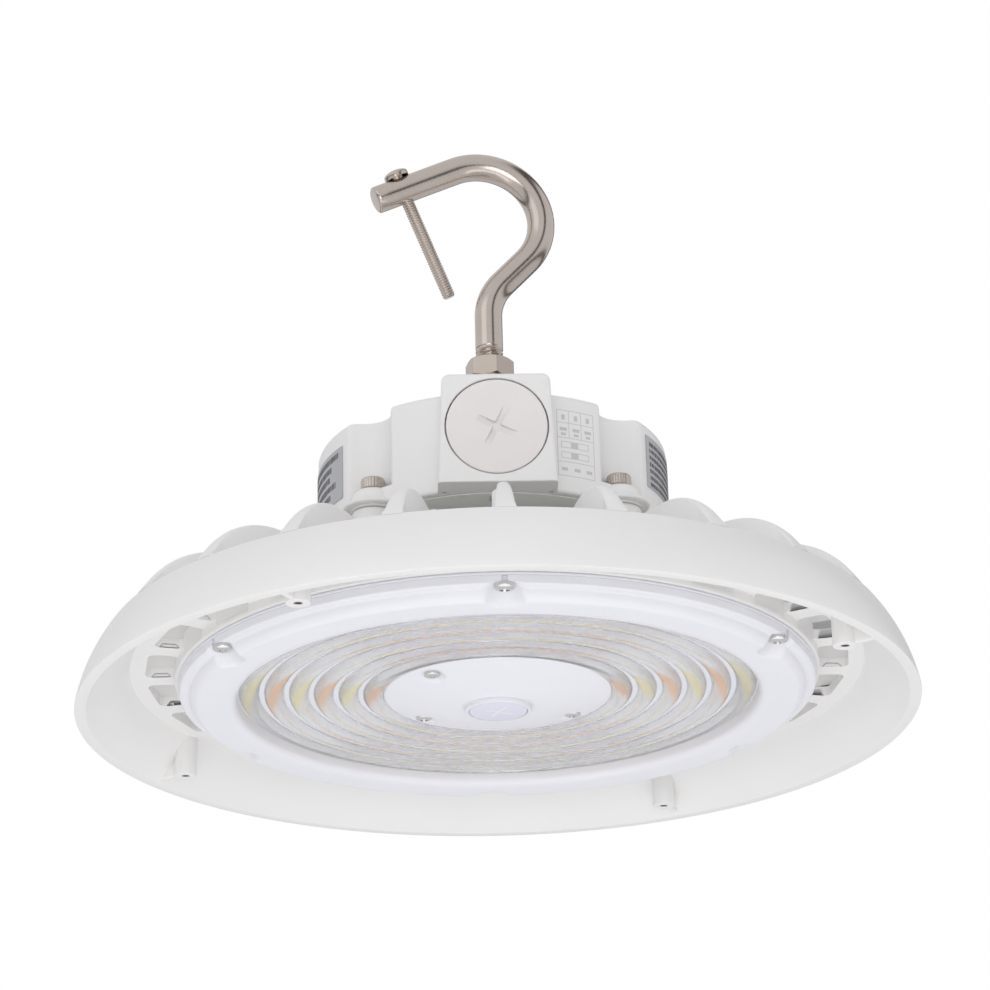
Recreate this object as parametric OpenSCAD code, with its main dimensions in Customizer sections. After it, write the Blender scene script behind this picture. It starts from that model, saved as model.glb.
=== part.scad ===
// Round LED high bay light ("UFO" type), hung from a hook.
// A finned die-cast heatsink carries the LED board, the ringed lens and the
// centre cover underneath, and the driver housing with its hook on top.
// Z is up, the origin is the middle of the rim's flat underside, and the
// driver housing's round selector cap faces -Y. Azimuths count from -Y
// towards +X, in degrees.

/* [Rim and skirt] */
// Outer diameter of the rim
rim_d = 300; // [290:1:320]
// Width of the flat lip round the rim
lip_w = 4; // [3:0.5:6]
// Height of the skirt, from the rim to its top edge
skirt_h = 24; // [22:0.5:28]
// How far the skirt's top edge lies inside the rim, on the radius
skirt_draw = 10; // [7:0.5:13]
// How far the skirt's side bows out from a straight cone
skirt_bow = 1.4; // [0.5:0.1:2.5]
// Height of the vent ring's underside
vent_z = 15.5; // [13:0.5:17]
// Thickness of the vent ring at its inner edge
vent_ring_t = 3.5; // [2.5:0.5:5]
// Radial width of each vent
vent_w = 10.5; // [8:0.5:12]
// Width of the flat ledge outside the vents
vent_ledge_w = 5.5; // [4:0.5:8]

/* [Fins] */
// Number of fins
fin_count = 24; // [12:1:30]
// Thickness of a fin at the vent ring
fin_base_t = 8.6; // [6:0.2:10]
// Thickness of a fin at its inner top edge
fin_tip_t = 2.6; // [2:0.2:4]
// Height of the crest of a fin's outer hump
fin_crest_z = 42.9; // [36:0.1:50]
// Distance from the skirt's top edge in to that crest
fin_crest_in = 32; // [26:1:36]
// Height of a fin's inner stretch
fin_inner_z = 46.5; // [40:0.5:52]
// Distance from the hump's crest in to the start of that stretch
fin_shoulder_in = 23; // [20:0.5:28]
// Radius where the fins end, near the middle
fin_inner_r = 48; // [40:1:54]

/* [Hub] */
// Distance from the rim's edge in to the hub, on the radius
hub_in = 35; // [31:0.5:39]
// Height of the hub's lower face, where the lens ring seats
hub_seat_z = 12; // [11:0.5:13]
// Width of the hub's seat round the recess that takes the LED board
hub_seat_w = 17; // [15.5:0.5:18]
// Depth of that recess
hub_recess_h = 3.6; // [3.2:0.2:5]
// Thickness of the hub plate above the recess
hub_plate_t = 6; // [5:0.5:9]
// Bore of the wire duct in the middle
duct_bore_d = 18; // [12:1:22]
// Wall of the wire duct
duct_wall = 5; // [3:0.5:7]

/* [Accessory bosses] */
// Azimuths of the four screw bosses inside the skirt
acc_az = [-30, 60, 150, -120];
// Distance from the rim's edge in to the boss axis
acc_inset = 16.1; // [14:0.1:18]
// Outer diameter of a boss
acc_boss_d = 8.4; // [7:0.2:10]
// Height of the boss ends above the rim
acc_boss_z = 0.9; // [0.5:0.1:2]
// Screw hole in each boss
acc_hole_d = 3.4; // [2.5:0.1:4.2]
// Depth of that hole
acc_hole_h = 9; // [6:0.5:12]
// Thickness of the rib between each boss and the skirt
acc_rib_t = 2.2; // [1.6:0.1:3]
// How far those ribs end above the bosses' ends
acc_rib_in = 0.4; // [0.3:0.1:1.5]

/* [Lens ring and lens] */
// How far the lens ring stays inside the hub's edge, on the radius
ring_in = 1.7; // [1:0.1:3]
// Thickness of the ring's flange
ring_flange_t = 3.4; // [3:0.2:4]
// Height of the ring, from its raised face to its seat
ring_h = 7.4; // [6.6:0.2:8]
// Width of the flange outside the ring's raised face
ring_flange_w = 4.8; // [4:0.1:6]
// Distance from the ring's edge in to its window
window_in = 20.3; // [19:0.1:22]
// How far the lens reaches past the window, on the radius
lens_over = 7.4; // [6:0.1:8]
// Thickness of the lens plate
lens_t = 1.8; // [1.4:0.1:2.4]
// Diameter of the hole in the middle of the lens
lens_hole_d = 56; // [50:1:58]
// Clearance of the lens in its rebate
lens_gap = 0.3; // [0.2:0.05:0.6]
// Thickness of the gasket between ring and hub
gasket_t = 1; // [0.8:0.1:1.5]

/* [Light rings] */
// Number of LED rings, with one ridge of the lens over each
led_rows = 6; // [3:1:6]
// Distance from the window's edge in to the outermost LED ring
led_in = 4.4; // [4:0.1:6]
// Width of an LED ring
led_w = 3.5; // [2.5:0.1:5]
// Height of the LEDs
led_t = 0.8; // [0.5:0.1:1.2]
// Thickness of the LED board
board_t = 1.6; // [1:0.1:2]
// Width of the flat between two ridges of the lens
ridge_valley_w = 1.6; // [1.2:0.1:2.4]
// Clearance between the innermost ridge and the centre cover
ridge_clear = 0.3; // [0.2:0.1:1]
// Height of a ridge of the lens
ridge_h = 2; // [1.2:0.1:2.4]

/* [Lens screws] */
// Number of lens screws
lens_screw_count = 6; // [4:1:8]
// Distance from the lens ring's edge in to the screw circle
lens_screw_in = 3.7; // [3.4:0.1:4.8]
// Head diameter
lens_screw_head_d = 7; // [6:0.1:8]
// Head height
lens_screw_head_h = 2.3; // [1.8:0.1:3]
// Shank diameter
lens_screw_d = 4; // [3:0.1:5]
// Shank length under the head
lens_screw_l = 10; // [8:0.5:11]
// Diameter of the pocket round each head
lens_pocket_d = 13.6; // [11:0.2:14]
// Depth of that pocket above the ring's raised face
lens_pocket_h = 5.4; // [4.4:0.1:5.8]
// Diameter of the boss on top of the hub over each lens screw
lens_boss_d = 7; // [6:0.2:9]
// Height of those bosses' tops above the rim
lens_boss_z = 42; // [26:0.5:44]

/* [Centre cover] */
// Diameter of the centre cover
cover_d = 81.4; // [80:0.2:82]
// Height of the middle of the cover above the rim
cover_face_z = 3.6; // [2.8:0.1:4]
// Thickness of the cover's edge
cover_edge_t = 0.8; // [0.6:0.1:1.2]
// Wall of the cover
cover_wall = 2.2; // [1.6:0.1:2.6]
// Azimuths of the cover screws
cover_screw_az = [-43, -130, 127];
// Radius of the cover screws
cover_screw_r = 34.5; // [34:0.1:35]
// Shank diameter of the cover screws
cover_screw_d = 3; // [2.5:0.1:3.4]
// Head diameter of the cover screws
cover_screw_head_d = 5.4; // [5:0.1:6]
// Head height of the cover screws
cover_screw_head_h = 1.6; // [1.2:0.1:2]
// Diameter of the dimple round each cover screw
cover_dimple_d = 7.8; // [7:0.1:8.4]

/* [Sensor socket] */
// Outer diameter of the socket's ring
socket_d = 23.6; // [21:0.2:25]
// How far the ring stands below the cover
socket_h = 1.6; // [1:0.1:2]
// Diameter of the blanking plug
plug_d = 20.8; // [18:0.2:22]
// Thickness of the blanking plug
plug_t = 1; // [0.8:0.1:1.2]
// Bore of the socket's collar
collar_bore_d = 16; // [12:0.5:17]
// Wall of the socket's collar
collar_wall = 1; // [0.8:0.1:1.6]

/* [Driver housing] */
// Height of the housing's underside
driver_z = 61.5; // [58:0.5:70]
// Diameter of the housing
driver_d = 127.6; // [124:0.2:132]
// Height of the housing
driver_h = 37.7; // [34:0.1:44]
// Edge rounding at the top of the housing
driver_round = 2.6; // [1:0.1:4]
// Diameter of the space inside
driver_cavity_d = 104.8; // [96:0.4:106]
// Wall at the top of that space
driver_roof_t = 3; // [2:0.2:4]
// Radius of the four mounting bolts
bolt_r = 61.3; // [60:0.1:62]
// Azimuth of the first mounting bolt
bolt_az = 45; // [40:1:50]
// Diameter of the ear and the post at each bolt
ear_d = 15.2; // [13:0.2:16]
// Height of each ear
ear_h = 7.9; // [6:0.1:10]
// Diameter of the flat foot under each ear
ear_foot_d = 20; // [17:0.5:22]
// Thickness of that foot
ear_foot_t = 1.4; // [1:0.1:2]
// Width of the hollow in the housing's side above an ear
channel_w = 20.4; // [18:0.2:22]
// Depth of that hollow
channel_h = 7.2; // [6.6:0.1:7.4]

/* [Driver bolts] */
// Shank diameter of a mounting bolt
bolt_d = 5; // [4:0.1:6]
// Shank length under the head
bolt_l = 20; // [16:1:26]
// Head diameter
bolt_head_d = 8.7; // [7:0.1:9.4]
// Head height
bolt_head_h = 5; // [4:0.1:6]
// Width across the flats of the hexagon socket
bolt_socket_w = 4; // [3:0.5:5]

/* [Selector box] */
// Width of the box at its foot
box_foot_w = 41.4; // [40:0.2:46]
// Width of the box at its top
box_top_w = 38; // [38:0.2:42]
// Distance of the box's front face from the middle axis
box_front = 70; // [68:0.5:74]
// How far the box rises above the housing
box_rise = 3.7; // [2:0.1:8]
// Corner rounding at the top of the box
box_round = 2.9; // [1:0.1:4]
// Distance of the box's back edge from the middle axis
box_back = 42; // [38:1:50]
// Diameter of the round selector cap
cap_d = 35.5; // [28:0.1:35.6]
// Thickness of the cap's disc
cap_t = 2.6; // [2:0.1:3]
// Gap round the cap
cap_gap = 0.35; // [0.2:0.05:0.5]
// Height of the cap's middle above the housing's underside
cap_rise = 21.3; // [20.8:0.1:21.6]
// Bore that the cap's boss screws into
cap_bore_d = 31; // [24:0.5:31]
// Thickness of the cap's seal
seal_t = 0.6; // [0.5:0.1:1]
// Length of the cap's cross slot
cross_l = 15.7; // [12:0.1:18]
// Width of the cross slots
cross_w = 2.2; // [1.6:0.1:3]
// Depth of the cap's cross slot
cross_h = 1.2; // [0.6:0.1:1.6]

/* [Base plate] */
// Thickness of the base plate
plate_t = 2.5; // [2:0.1:3.5]
// Width of the housing's rim outside the base plate
plate_rim_w = 3; // [2.5:0.1:4]
// Clearance round the base plate
plate_gap = 0.4; // [0.2:0.05:0.6]
// Radius of the base plate screws
plate_screw_r = 56.5; // [55.5:0.1:57]
// Height of the posts that carry the driver board
board_post_h = 6; // [4:0.5:8]

/* [Hook] */
// Diameter of the hook's rod
rod_d = 10.4; // [9:0.1:12]
// Height where the straight shank ends
shank_top_z = 157.6; // [152:0.1:165]
// Centre-line radius of the first bend
neck_r = 20.7; // [17:0.1:25]
// Angle of the first bend
neck_angle = 42.7; // [35:0.1:50]
// Straight length between the bends
neck_l = 14; // [8:0.5:20]
// Centre-line radius of the main bend
bow_r = 23.2; // [20:0.1:28]
// Angle of the main bend
bow_angle = 157.9; // [150:0.1:165]
// Straight length at the end of the hook
tail_l = 33.6; // [26:0.1:40]
// Turn of the hook about the middle axis
hook_yaw = 8; // [0:1:20]
// Height of the boss that the hook screws into
boss_h = 27.6; // [20:0.1:29]
// Diameter of the boss at its top
boss_top_d = 26; // [22:0.5:28]
// Diameter of the boss at its foot
boss_foot_d = 38; // [30:1:44]
// Depth of the threaded hole in the boss
boss_hole_h = 22; // [14:0.5:26]
// Thickness of the flat washer
washer_t = 2; // [1.5:0.1:2.5]
// Diameter of the flat washer
washer_d = 21; // [19:0.5:24]
// Thickness of the spring washer
spring_t = 2.2; // [1.5:0.1:2.6]
// Diameter of the spring washer
spring_d = 17.6; // [16:0.2:18.5]
// Height of the lock nut
nut_h = 8; // [7:0.1:9]
// Width across the flats of the lock nut
nut_w = 16; // [15.5:0.5:19]

/* [Safety screw] */
// Shank diameter of the safety screw
safety_d = 5; // [4:0.1:6]
// Shank length of the safety screw
safety_l = 50; // [40:1:52]
// Distance of the safety screw from the hook's end
safety_in = 11.6; // [8:0.1:16]
// Lean of the safety screw about the rod's own axis
safety_lean = 11.6; // [0:0.1:20]
// Head diameter of the safety screw
safety_head_d = 9.4; // [8:0.1:10]
// Head height of the safety screw
safety_head_h = 3.2; // [2.5:0.1:4]

/* [Labels] */
// Angle that each label covers
label_span = 50; // [30:1:60]
// Azimuth where each label starts
label_az = 58; // [57:1:62]
// Height of the labels
label_h = 20; // [14:0.5:20.5]
// Height of the right label's lower edge above the housing's underside
label_right_rise = 12.8; // [8:0.2:13]
// Height of the left label's lower edge above the housing's underside
label_left_rise = 10; // [8:0.2:13]
// Thickness of the labels
label_t = 0.3; // [0.2:0.05:0.4]

/* [Hidden] */
$fn = 120;

// Small amount by which joined solids reach into each other
bite = 0.5;
// Clearance of a shank in its threaded hole, on the radius
thread_gap = 0.05;
// Clearance of a shank in a plain hole, on the radius
shank_gap = 0.3;
// Room past the end of a screw in its hole
hole_spare = 1;
// Small edge break on cast edges
edge = 0.8;
// Thickness of the glue under a label
label_gap = 0.05;

// Skirt and hub
rim_r = rim_d / 2;
skirt_top_r = rim_r - skirt_draw;
hub_r = rim_r - hub_in;
hub_recess_r = hub_r - hub_seat_w;
vent_r = hub_r + vent_w;
ledge_r = vent_r + vent_ledge_w;
hub_plate_z = hub_seat_z + hub_recess_h;
hub_top_z = hub_plate_z + hub_plate_t;
duct_r = duct_bore_d / 2;
duct_gasket_t = 1.5;
duct_gasket_in = 0.5;
acc_r = rim_r - acc_inset;
skirt_crest_w = 2;
skirt_crest_drop = 0.4;
// Middle of the skirt's wall at the rim and at the vent ring
wall_foot_r = rim_r - lip_w * 0.6;
wall_top_r = (ledge_r + skirt_top_r) / 2;
inner_bow = 1;

// Fins
fin_pitch = 360 / fin_count;
fin_crest_r = skirt_top_r - fin_crest_in;
fin_drop = fin_crest_z - skirt_h;
fin_hump_r = (fin_crest_in * fin_crest_in + fin_drop * fin_drop) / (2 * fin_drop);
fin_shoulder_r = fin_crest_r - fin_shoulder_in;
fin_valley_w = 13;
fin_valley_r = fin_shoulder_r + fin_valley_w;
fin_corner = 3;
// A fin's underside stays this far behind the vent ring's
fin_step = 0.3;
fin_z = vent_z + fin_step;
fin_slab_t = 2 * fin_base_t;

// Light unit, from the hub's seat down
ring_r = hub_r - ring_in;
ring_top_z = hub_seat_z - gasket_t;
ring_face_z = ring_top_z - ring_h;
ring_face_r = ring_r - ring_flange_w;
flange_z = ring_top_z - ring_flange_t;
window_r = ring_r - window_in;
lens_r = window_r + lens_over;
lens_z = ring_top_z - lens_t;
lens_hole_r = lens_hole_d / 2;
rebate_r = lens_r + lens_gap;
board_z = hub_plate_z - board_t;
led_z = board_z - led_t;
board_gap = 2;
board_r = hub_recess_r - board_gap;
post_clearance = 1.2;
cover_r = cover_d / 2;
cover_post_r = 4;
cover_hole_in = 4;
cover_screw_in = 2;
board_hole_r = cover_screw_r + cover_post_r + post_clearance;
gasket_in = 0.5;
led_outer_r = window_r - led_in;
led_inner_edge = cover_d / 2 + ridge_clear - ridge_valley_w / 2;
led_pitch = (led_outer_r - led_inner_edge) / (led_rows - 0.5);
ridge_w = led_pitch - ridge_valley_w;
lens_screw_r = ring_r - lens_screw_in;
pocket_z = ring_face_z + lens_pocket_h;
lens_hole_h = pocket_z + lens_screw_l - hub_seat_z + hole_spare;

// Centre cover: a shallow dome from its edge to its middle
dome_rise = lens_z - cover_edge_t - cover_face_z;
dome_r = (cover_r * cover_r + dome_rise * dome_rise) / (2 * dome_rise);
cover_pad_w = 0.8;
cover_pad_r = socket_d / 2 + cover_pad_w;
cover_solid_in = 6.5;
cover_solid_r = cover_screw_r - cover_solid_in;
collar_play = 0.2;
dimple_floor_t = 1;
dimple_z = lens_z - dimple_floor_t;
collar_r = collar_bore_d / 2 + collar_wall;
collar_h = 8.4;
plug_play = 0.2;
socket_z = cover_face_z - socket_h;
socket_edge = 0.3;

// Driver housing
driver_r = driver_d / 2;
driver_top_z = driver_z + driver_h;
boss_fillet = 3;
cavity_r = driver_cavity_d / 2;
cavity_z = driver_z + plate_t;
cavity_top_z = driver_top_z - driver_roof_t;
ear_r = ear_d / 2;
ear_top_z = driver_z + ear_h;
// The ears' machined seats stand this far proud of the casting round them
seat_h = 0.3;
ear_foot_z = driver_z + 2 * seat_h;
body_z = driver_z + seat_h;
channel_r = (channel_w * channel_w / 4 + channel_h * channel_h) / (2 * channel_h);
channel_x = driver_r - channel_h + channel_r;
bolt_angles = [for (i = [0:3]) bolt_az + 90 * i];
plate_hole_r = driver_r - plate_rim_w;
plate_r = plate_hole_r - plate_gap;
notch_r = ear_r + 0.9;
plate_post_r = 3;
plate_post_in = 40;
plate_screw_d = 3;
plate_screw_head_d = 5.6;
plate_screw_head_h = 1.6;
plate_screw_l = 9;

// Selector box
box_top_z = driver_top_z + box_rise;
cap_z = driver_z + cap_rise;
cap_r = cap_d / 2;
cap_seat_y = -box_front + cap_t + seal_t;
cap_bore_r = cap_bore_d / 2;
cap_boss_l = 6;
seal_in = 0.2;
box_wall = 3;
box_front_edge = 1.2;
box_front_wall = 7;
room_floor = 4;

// Driver parts
driver_board_z = cavity_z + board_post_h;
driver_board_t = 1.6;
parts_z = driver_board_z + driver_board_t;
driver_board_gap = 2.4;
driver_board_r = cavity_r - driver_board_gap;
transformer_size = [28, 30, 19];
transformer_at = [-40, -6];
capacitor_d = 18;
capacitor_h = 20;
capacitor_x = 30;
capacitor_y = [-16, 8];
terminal_size = [30, 12, 11];
terminal_at = [-15, -44];

// Hook
rod_r = rod_d / 2;
// A bend is a hair thicker than the rod, and takes this much of each straight end
rod_swell = 0.02;
rod_lap = 0.4;
boss_top_z = driver_top_z + boss_h;
shank_z = boss_top_z - boss_hole_h + hole_spare;
spring_z = boss_top_z + washer_t;
nut_z = spring_z + spring_t;
neck_end = [neck_r * (1 - cos(neck_angle)), shank_top_z + neck_r * sin(neck_angle)];
bow_start = neck_end + neck_l * [sin(neck_angle), cos(neck_angle)];
bow_mid = bow_start + bow_r * [-cos(neck_angle), sin(neck_angle)];
tail_angle = neck_angle - bow_angle;
tail_dir = [sin(tail_angle), cos(tail_angle)];
tail_start = bow_mid + bow_r * [cos(tail_angle), -sin(tail_angle)];
tail_end = tail_start + tail_l * tail_dir;
safety_at = tail_end - safety_in * tail_dir;

// Points of an arc in (r, z), from angle a0 to angle a1 in n steps
function arc(mid, r, a0, a1, n) =
    [for (i = [0:n]) let (a = a0 + (a1 - a0) * i / n) mid + r * [cos(a), sin(a)]];

// Points from p to q that bow out sideways by b
function bowed(p, q, b, n) =
    let (side = [q.y - p.y, p.x - q.x] / norm(q - p))
    [for (i = [0:n]) let (t = i / n) p + (q - p) * t + side * b * 4 * t * (1 - t)];

// Height of the centre cover's outside at radius r
function dome_z(r) = cover_face_z + dome_r - sqrt(dome_r * dome_r - r * r);

// Puts children at radius r on azimuth az, with X pointing outward
module at(az, r = 0, z = 0) {
    rotate([0, 0, az - 90]) translate([r, 0, z]) children();
}

// A ring of rectangular section
module washer_ring(r_out, r_in, z, h) {
    rotate_extrude() translate([r_in, z]) square([r_out - r_in, h]);
}

// A cross of two slots, centred, sunk from z = 0 to z = h
module cross_slot(l, w, h) {
    for (a = [0, 90]) {
        rotate([0, 0, a]) translate([-l / 2, -w / 2, 0]) cube([l, w, h]);
    }
}

// A pan head standing on z = 0 and pointing up, with a cross recess
module pan_head(d, h) {
    rim_h = h * 0.45;
    crown = arc([0, 0], 1, 0, 90, 6);
    difference() {
        rotate_extrude() polygon(concat([[0, 0]],
            [for (p = crown) [p.x * d / 2, rim_h * (p.y > 0 ? 1 : 0) + p.y * (h - rim_h)]]));
        translate([0, 0, h * 0.5]) cross_slot(d * 0.55, d * 0.14, h);
    }
}

// The skirt: lip, bowed side, sloping top and vent ledge, with the inner wall
module skirt() {
    side = bowed([rim_r, edge], [skirt_top_r, skirt_h], skirt_bow, 8);
    inner = bowed([ledge_r, vent_z], [rim_r - lip_w, edge], inner_bow, 5);
    rotate_extrude($fn = 240) polygon(concat(
        [[rim_r - lip_w + edge / 2, 0], [rim_r - edge, 0]],
        side,
        [[skirt_top_r - skirt_crest_w, skirt_h - skirt_crest_drop],
         [vent_r, vent_z + vent_ring_t], [vent_r, vent_z]],
        inner));
}

// The hub: plate, seat ring for the lens, and the duct for the wires
module hub() {
    rotate_extrude($fn = 240) polygon([
        [duct_r, hub_plate_z], [hub_recess_r, hub_plate_z], [hub_recess_r, hub_seat_z],
        [hub_r - edge, hub_seat_z], [hub_r, hub_seat_z + edge], [hub_r, hub_top_z],
        [duct_r + duct_wall, hub_top_z], [duct_r + duct_wall, driver_z - duct_gasket_t],
        [duct_r, driver_z - duct_gasket_t]]);
}

// One fin along +X: a humped profile cut from a wedge that thins upward
module fin() {
    hump_end = acos((fin_valley_r - fin_crest_r) / fin_hump_r);
    hump_start = asin((skirt_h - fin_crest_z + fin_hump_r) / fin_hump_r);
    hump_mid = [fin_crest_r, fin_crest_z - fin_hump_r];
    taper = (fin_base_t - fin_tip_t) / (fin_inner_z - vent_z);
    top_z = fin_inner_z + bite;
    top_t = fin_tip_t - taper * bite;
    intersection() {
        rotate([90, 0, 0]) linear_extrude(fin_slab_t, center = true) polygon(concat(
            [[fin_inner_r, hub_top_z - bite], [hub_r - bite, hub_top_z - bite],
             [hub_r - bite, fin_z], [vent_r + bite, fin_z],
             [skirt_top_r - skirt_crest_w / 2, skirt_h - skirt_crest_w]],
            arc(hump_mid, fin_hump_r, hump_start, hump_end, 12),
            [[fin_shoulder_r, fin_inner_z], [fin_inner_r + fin_corner, fin_inner_z],
             [fin_inner_r, fin_inner_z - fin_corner]]));
        rotate([90, 0, 90]) linear_extrude(rim_r) polygon([
            [-fin_base_t / 2, vent_z], [fin_base_t / 2, vent_z],
            [top_t / 2, top_z], [-top_t / 2, top_z]]);
    }
}

// Rib along +X that ties an accessory boss to the skirt's wall
module acc_rib() {
    foot_z = acc_boss_z + acc_rib_in;
    rotate([90, 0, 0]) linear_extrude(acc_rib_t, center = true) polygon([
        [acc_r, foot_z], [wall_foot_r, foot_z],
        [wall_top_r, vent_z + bite], [acc_r, vent_z + bite]]);
}

// Boss for a lens screw, with a broken top edge
module lens_boss(h) {
    r = lens_boss_d / 2;
    rotate_extrude() polygon([[0, 0], [r, 0], [r, h - edge], [r - edge, h], [0, h]]);
}

// Heatsink casting with its fins, posts, bosses and threaded holes
module heatsink() {
    color([0.87, 0.87, 0.86]) difference() {
        union() {
            skirt();
            hub();
            for (i = [0:fin_count - 1]) at(i * fin_pitch) fin();
            for (az = bolt_angles) {
                at(az, bolt_r, hub_top_z - bite) cylinder(r = ear_r, h = driver_z - hub_top_z + bite);
            }
            for (i = [0:lens_screw_count - 1]) {
                at(i * 360 / lens_screw_count, lens_screw_r, hub_top_z - bite)
                    lens_boss(lens_boss_z - hub_top_z + bite);
            }
            for (az = acc_az) {
                at(az, acc_r, acc_boss_z) cylinder(d = acc_boss_d, h = vent_z + 2 * bite - acc_boss_z);
                at(az) acc_rib();
            }
            for (az = cover_screw_az) {
                at(az, cover_screw_r, ring_top_z)
                    cylinder(r = cover_post_r, h = hub_plate_z - ring_top_z + bite);
            }
        }
        for (az = bolt_angles) {
            at(az, bolt_r, ear_top_z - bolt_l - hole_spare)
                cylinder(r = bolt_d / 2 + thread_gap, h = bolt_l);
        }
        for (az = acc_az) {
            at(az, acc_r, acc_boss_z - bite) cylinder(d = acc_hole_d, h = acc_hole_h + bite);
        }
        for (az = cover_screw_az) {
            at(az, cover_screw_r, ring_top_z - bite)
                cylinder(r = cover_screw_d / 2 + thread_gap, h = hub_plate_z - ring_top_z + cover_hole_in);
        }
        for (i = [0:lens_screw_count - 1]) {
            at(i * 360 / lens_screw_count, lens_screw_r, hub_seat_z - bite)
                cylinder(r = lens_screw_d / 2 + thread_gap, h = lens_hole_h + bite);
        }
    }
}

// Flat gasket between the lens ring and the hub
module hub_gasket() {
    color([0.8, 0.8, 0.8]) difference() {
        washer_ring(ring_r - gasket_in, hub_recess_r + gasket_in, ring_top_z, gasket_t);
        lens_screw_holes(ring_top_z - bite, gasket_t + 2 * bite);
    }
}

// Plain holes for the lens screws
module lens_screw_holes(z, h) {
    for (i = [0:lens_screw_count - 1]) {
        at(i * 360 / lens_screw_count, lens_screw_r, z) cylinder(r = lens_screw_d / 2 + shank_gap, h = h);
    }
}

// White ring that holds the lens: flange, raised face and rebate
module lens_ring() {
    face_round = 1.6;
    step_w = 1.2;
    step_h = 0.4;
    window_flat = 4;
    window_slope = [2.5, 0.2];
    window_wall = 3.2;
    color([0.9, 0.9, 0.93]) difference() {
        rotate_extrude($fn = 240) polygon(concat(
            [[ring_r, ring_top_z], [ring_r, flange_z + edge], [ring_r - edge, flange_z],
             [ring_face_r + step_w + edge, flange_z]],
            bowed([ring_face_r + step_w, flange_z - step_h],
                [ring_face_r - face_round, ring_face_z], -0.6, 4),
            [[window_r + window_flat, ring_face_z]],
            bowed([window_r, ring_face_z] + window_slope, [window_r, lens_z - window_wall], -0.5, 4),
            [[window_r, lens_z], [rebate_r, lens_z], [rebate_r, ring_top_z]]));
        for (i = [0:lens_screw_count - 1]) {
            at(i * 360 / lens_screw_count, lens_screw_r, ring_face_z - bite)
                cylinder(d = lens_pocket_d, h = lens_pocket_h + bite);
        }
        lens_screw_holes(ring_face_z, ring_h + bite);
    }
}

// Clear lens: a plate with one half-round ridge under each LED ring
module lens() {
    ridges = [for (k = [0:led_rows - 1], a = [0:18:180])
        [led_outer_r - k * led_pitch + cos(a) * ridge_w / 2, lens_z - sin(a) * ridge_h]];
    color([0.92, 0.94, 0.96, 0.4]) difference() {
        rotate_extrude($fn = 240) polygon(concat(
            [[lens_hole_r, ring_top_z], [lens_r, ring_top_z], [lens_r, lens_z]],
            ridges,
            [[lens_hole_r, lens_z]]));
        for (az = cover_screw_az) {
            at(az, cover_screw_r, lens_z - bite)
                cylinder(r = cover_screw_d / 2 + shank_gap, h = lens_t + 2 * bite);
        }
    }
}

// Pan-head screws that hold the lens ring
module lens_screws() {
    color([0.8, 0.8, 0.8])
    for (i = [0:lens_screw_count - 1]) {
        at(i * 360 / lens_screw_count, lens_screw_r, pocket_z) {
            cylinder(d = lens_screw_d, h = lens_screw_l);
            mirror([0, 0, 1]) pan_head(lens_screw_head_d, lens_screw_head_h);
        }
    }
}

// Domed white cover in the middle of the lens
module centre_cover() {
    outside = [for (i = [0:10]) let (r = cover_r + (cover_pad_r - cover_r) * i / 10) [r, dome_z(r)]];
    inside = [for (i = [0:5]) let (r = collar_r + (cover_solid_r - collar_r) * i / 5)
        [r + collar_play, dome_z(r) + cover_wall]];
    color([0.92, 0.92, 0.95]) difference() {
        rotate_extrude($fn = 180) polygon(concat(
            [[cover_r, lens_z]],
            outside,
            [[cover_pad_r, cover_face_z], [collar_r + collar_play, cover_face_z]],
            inside,
            [[cover_solid_r + collar_play, lens_z]]));
        for (az = cover_screw_az) {
            at(az, cover_screw_r, cover_face_z) cylinder(d = cover_dimple_d, h = dimple_z - cover_face_z);
            at(az, cover_screw_r, cover_face_z)
                cylinder(r = cover_screw_d / 2 + shank_gap, h = lens_z - cover_face_z + bite);
        }
    }
}

// Pan-head screws that hold the centre cover and the lens to the hub
module cover_screws() {
    color([0.75, 0.75, 0.75])
    for (az = cover_screw_az) {
        at(az, cover_screw_r, dimple_z) {
            cylinder(d = cover_screw_d, h = hub_plate_z - dimple_z + cover_screw_in);
            mirror([0, 0, 1]) pan_head(cover_screw_head_d, cover_screw_head_h);
        }
    }
}

// Socket for a plug-in sensor: ring and collar
module sensor_socket() {
    color([0.92, 0.92, 0.95]) rotate_extrude() polygon([
        [socket_d / 2, cover_face_z], [socket_d / 2, socket_z + socket_edge],
        [socket_d / 2 - socket_edge, socket_z],
        [plug_d / 2 + plug_play, socket_z], [plug_d / 2 + plug_play, socket_z + plug_t],
        [collar_bore_d / 2, socket_z + plug_t], [collar_bore_d / 2, cover_face_z + collar_h],
        [collar_r, cover_face_z + collar_h], [collar_r, cover_face_z]]);
}

// Blanking plug of the sensor socket, with a cross slot
module sensor_plug() {
    stub_l = 5;
    slot_l = 11;
    slot_w = 1.5;
    slot_turn = 26;
    color([0.86, 0.87, 0.93]) difference() {
        union() {
            translate([0, 0, socket_z]) cylinder(d = plug_d, h = plug_t);
            translate([0, 0, socket_z + plug_t - bite])
                cylinder(r = collar_bore_d / 2 - plug_play, h = stub_l + bite);
        }
        translate([0, 0, socket_z - bite]) rotate([0, 0, slot_turn])
            cross_slot(slot_l, slot_w, plug_t / 2 + bite);
    }
}

// Round metal-core board that carries the LEDs
module led_board() {
    color([0.95, 0.95, 0.95]) washer_ring(board_r, board_hole_r, board_z, board_t);
}

// Every second LED ring, from ring number first
module led_rings(first) {
    for (k = [first:2:led_rows - 1]) {
        row_r = led_outer_r - k * led_pitch;
        washer_ring(row_r + led_w / 2, row_r - led_w / 2, led_z, led_t);
    }
}

// Rings of cool-white LEDs
module leds_cool() {
    color([0.93, 0.9, 0.62]) led_rings(0);
}

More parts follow.
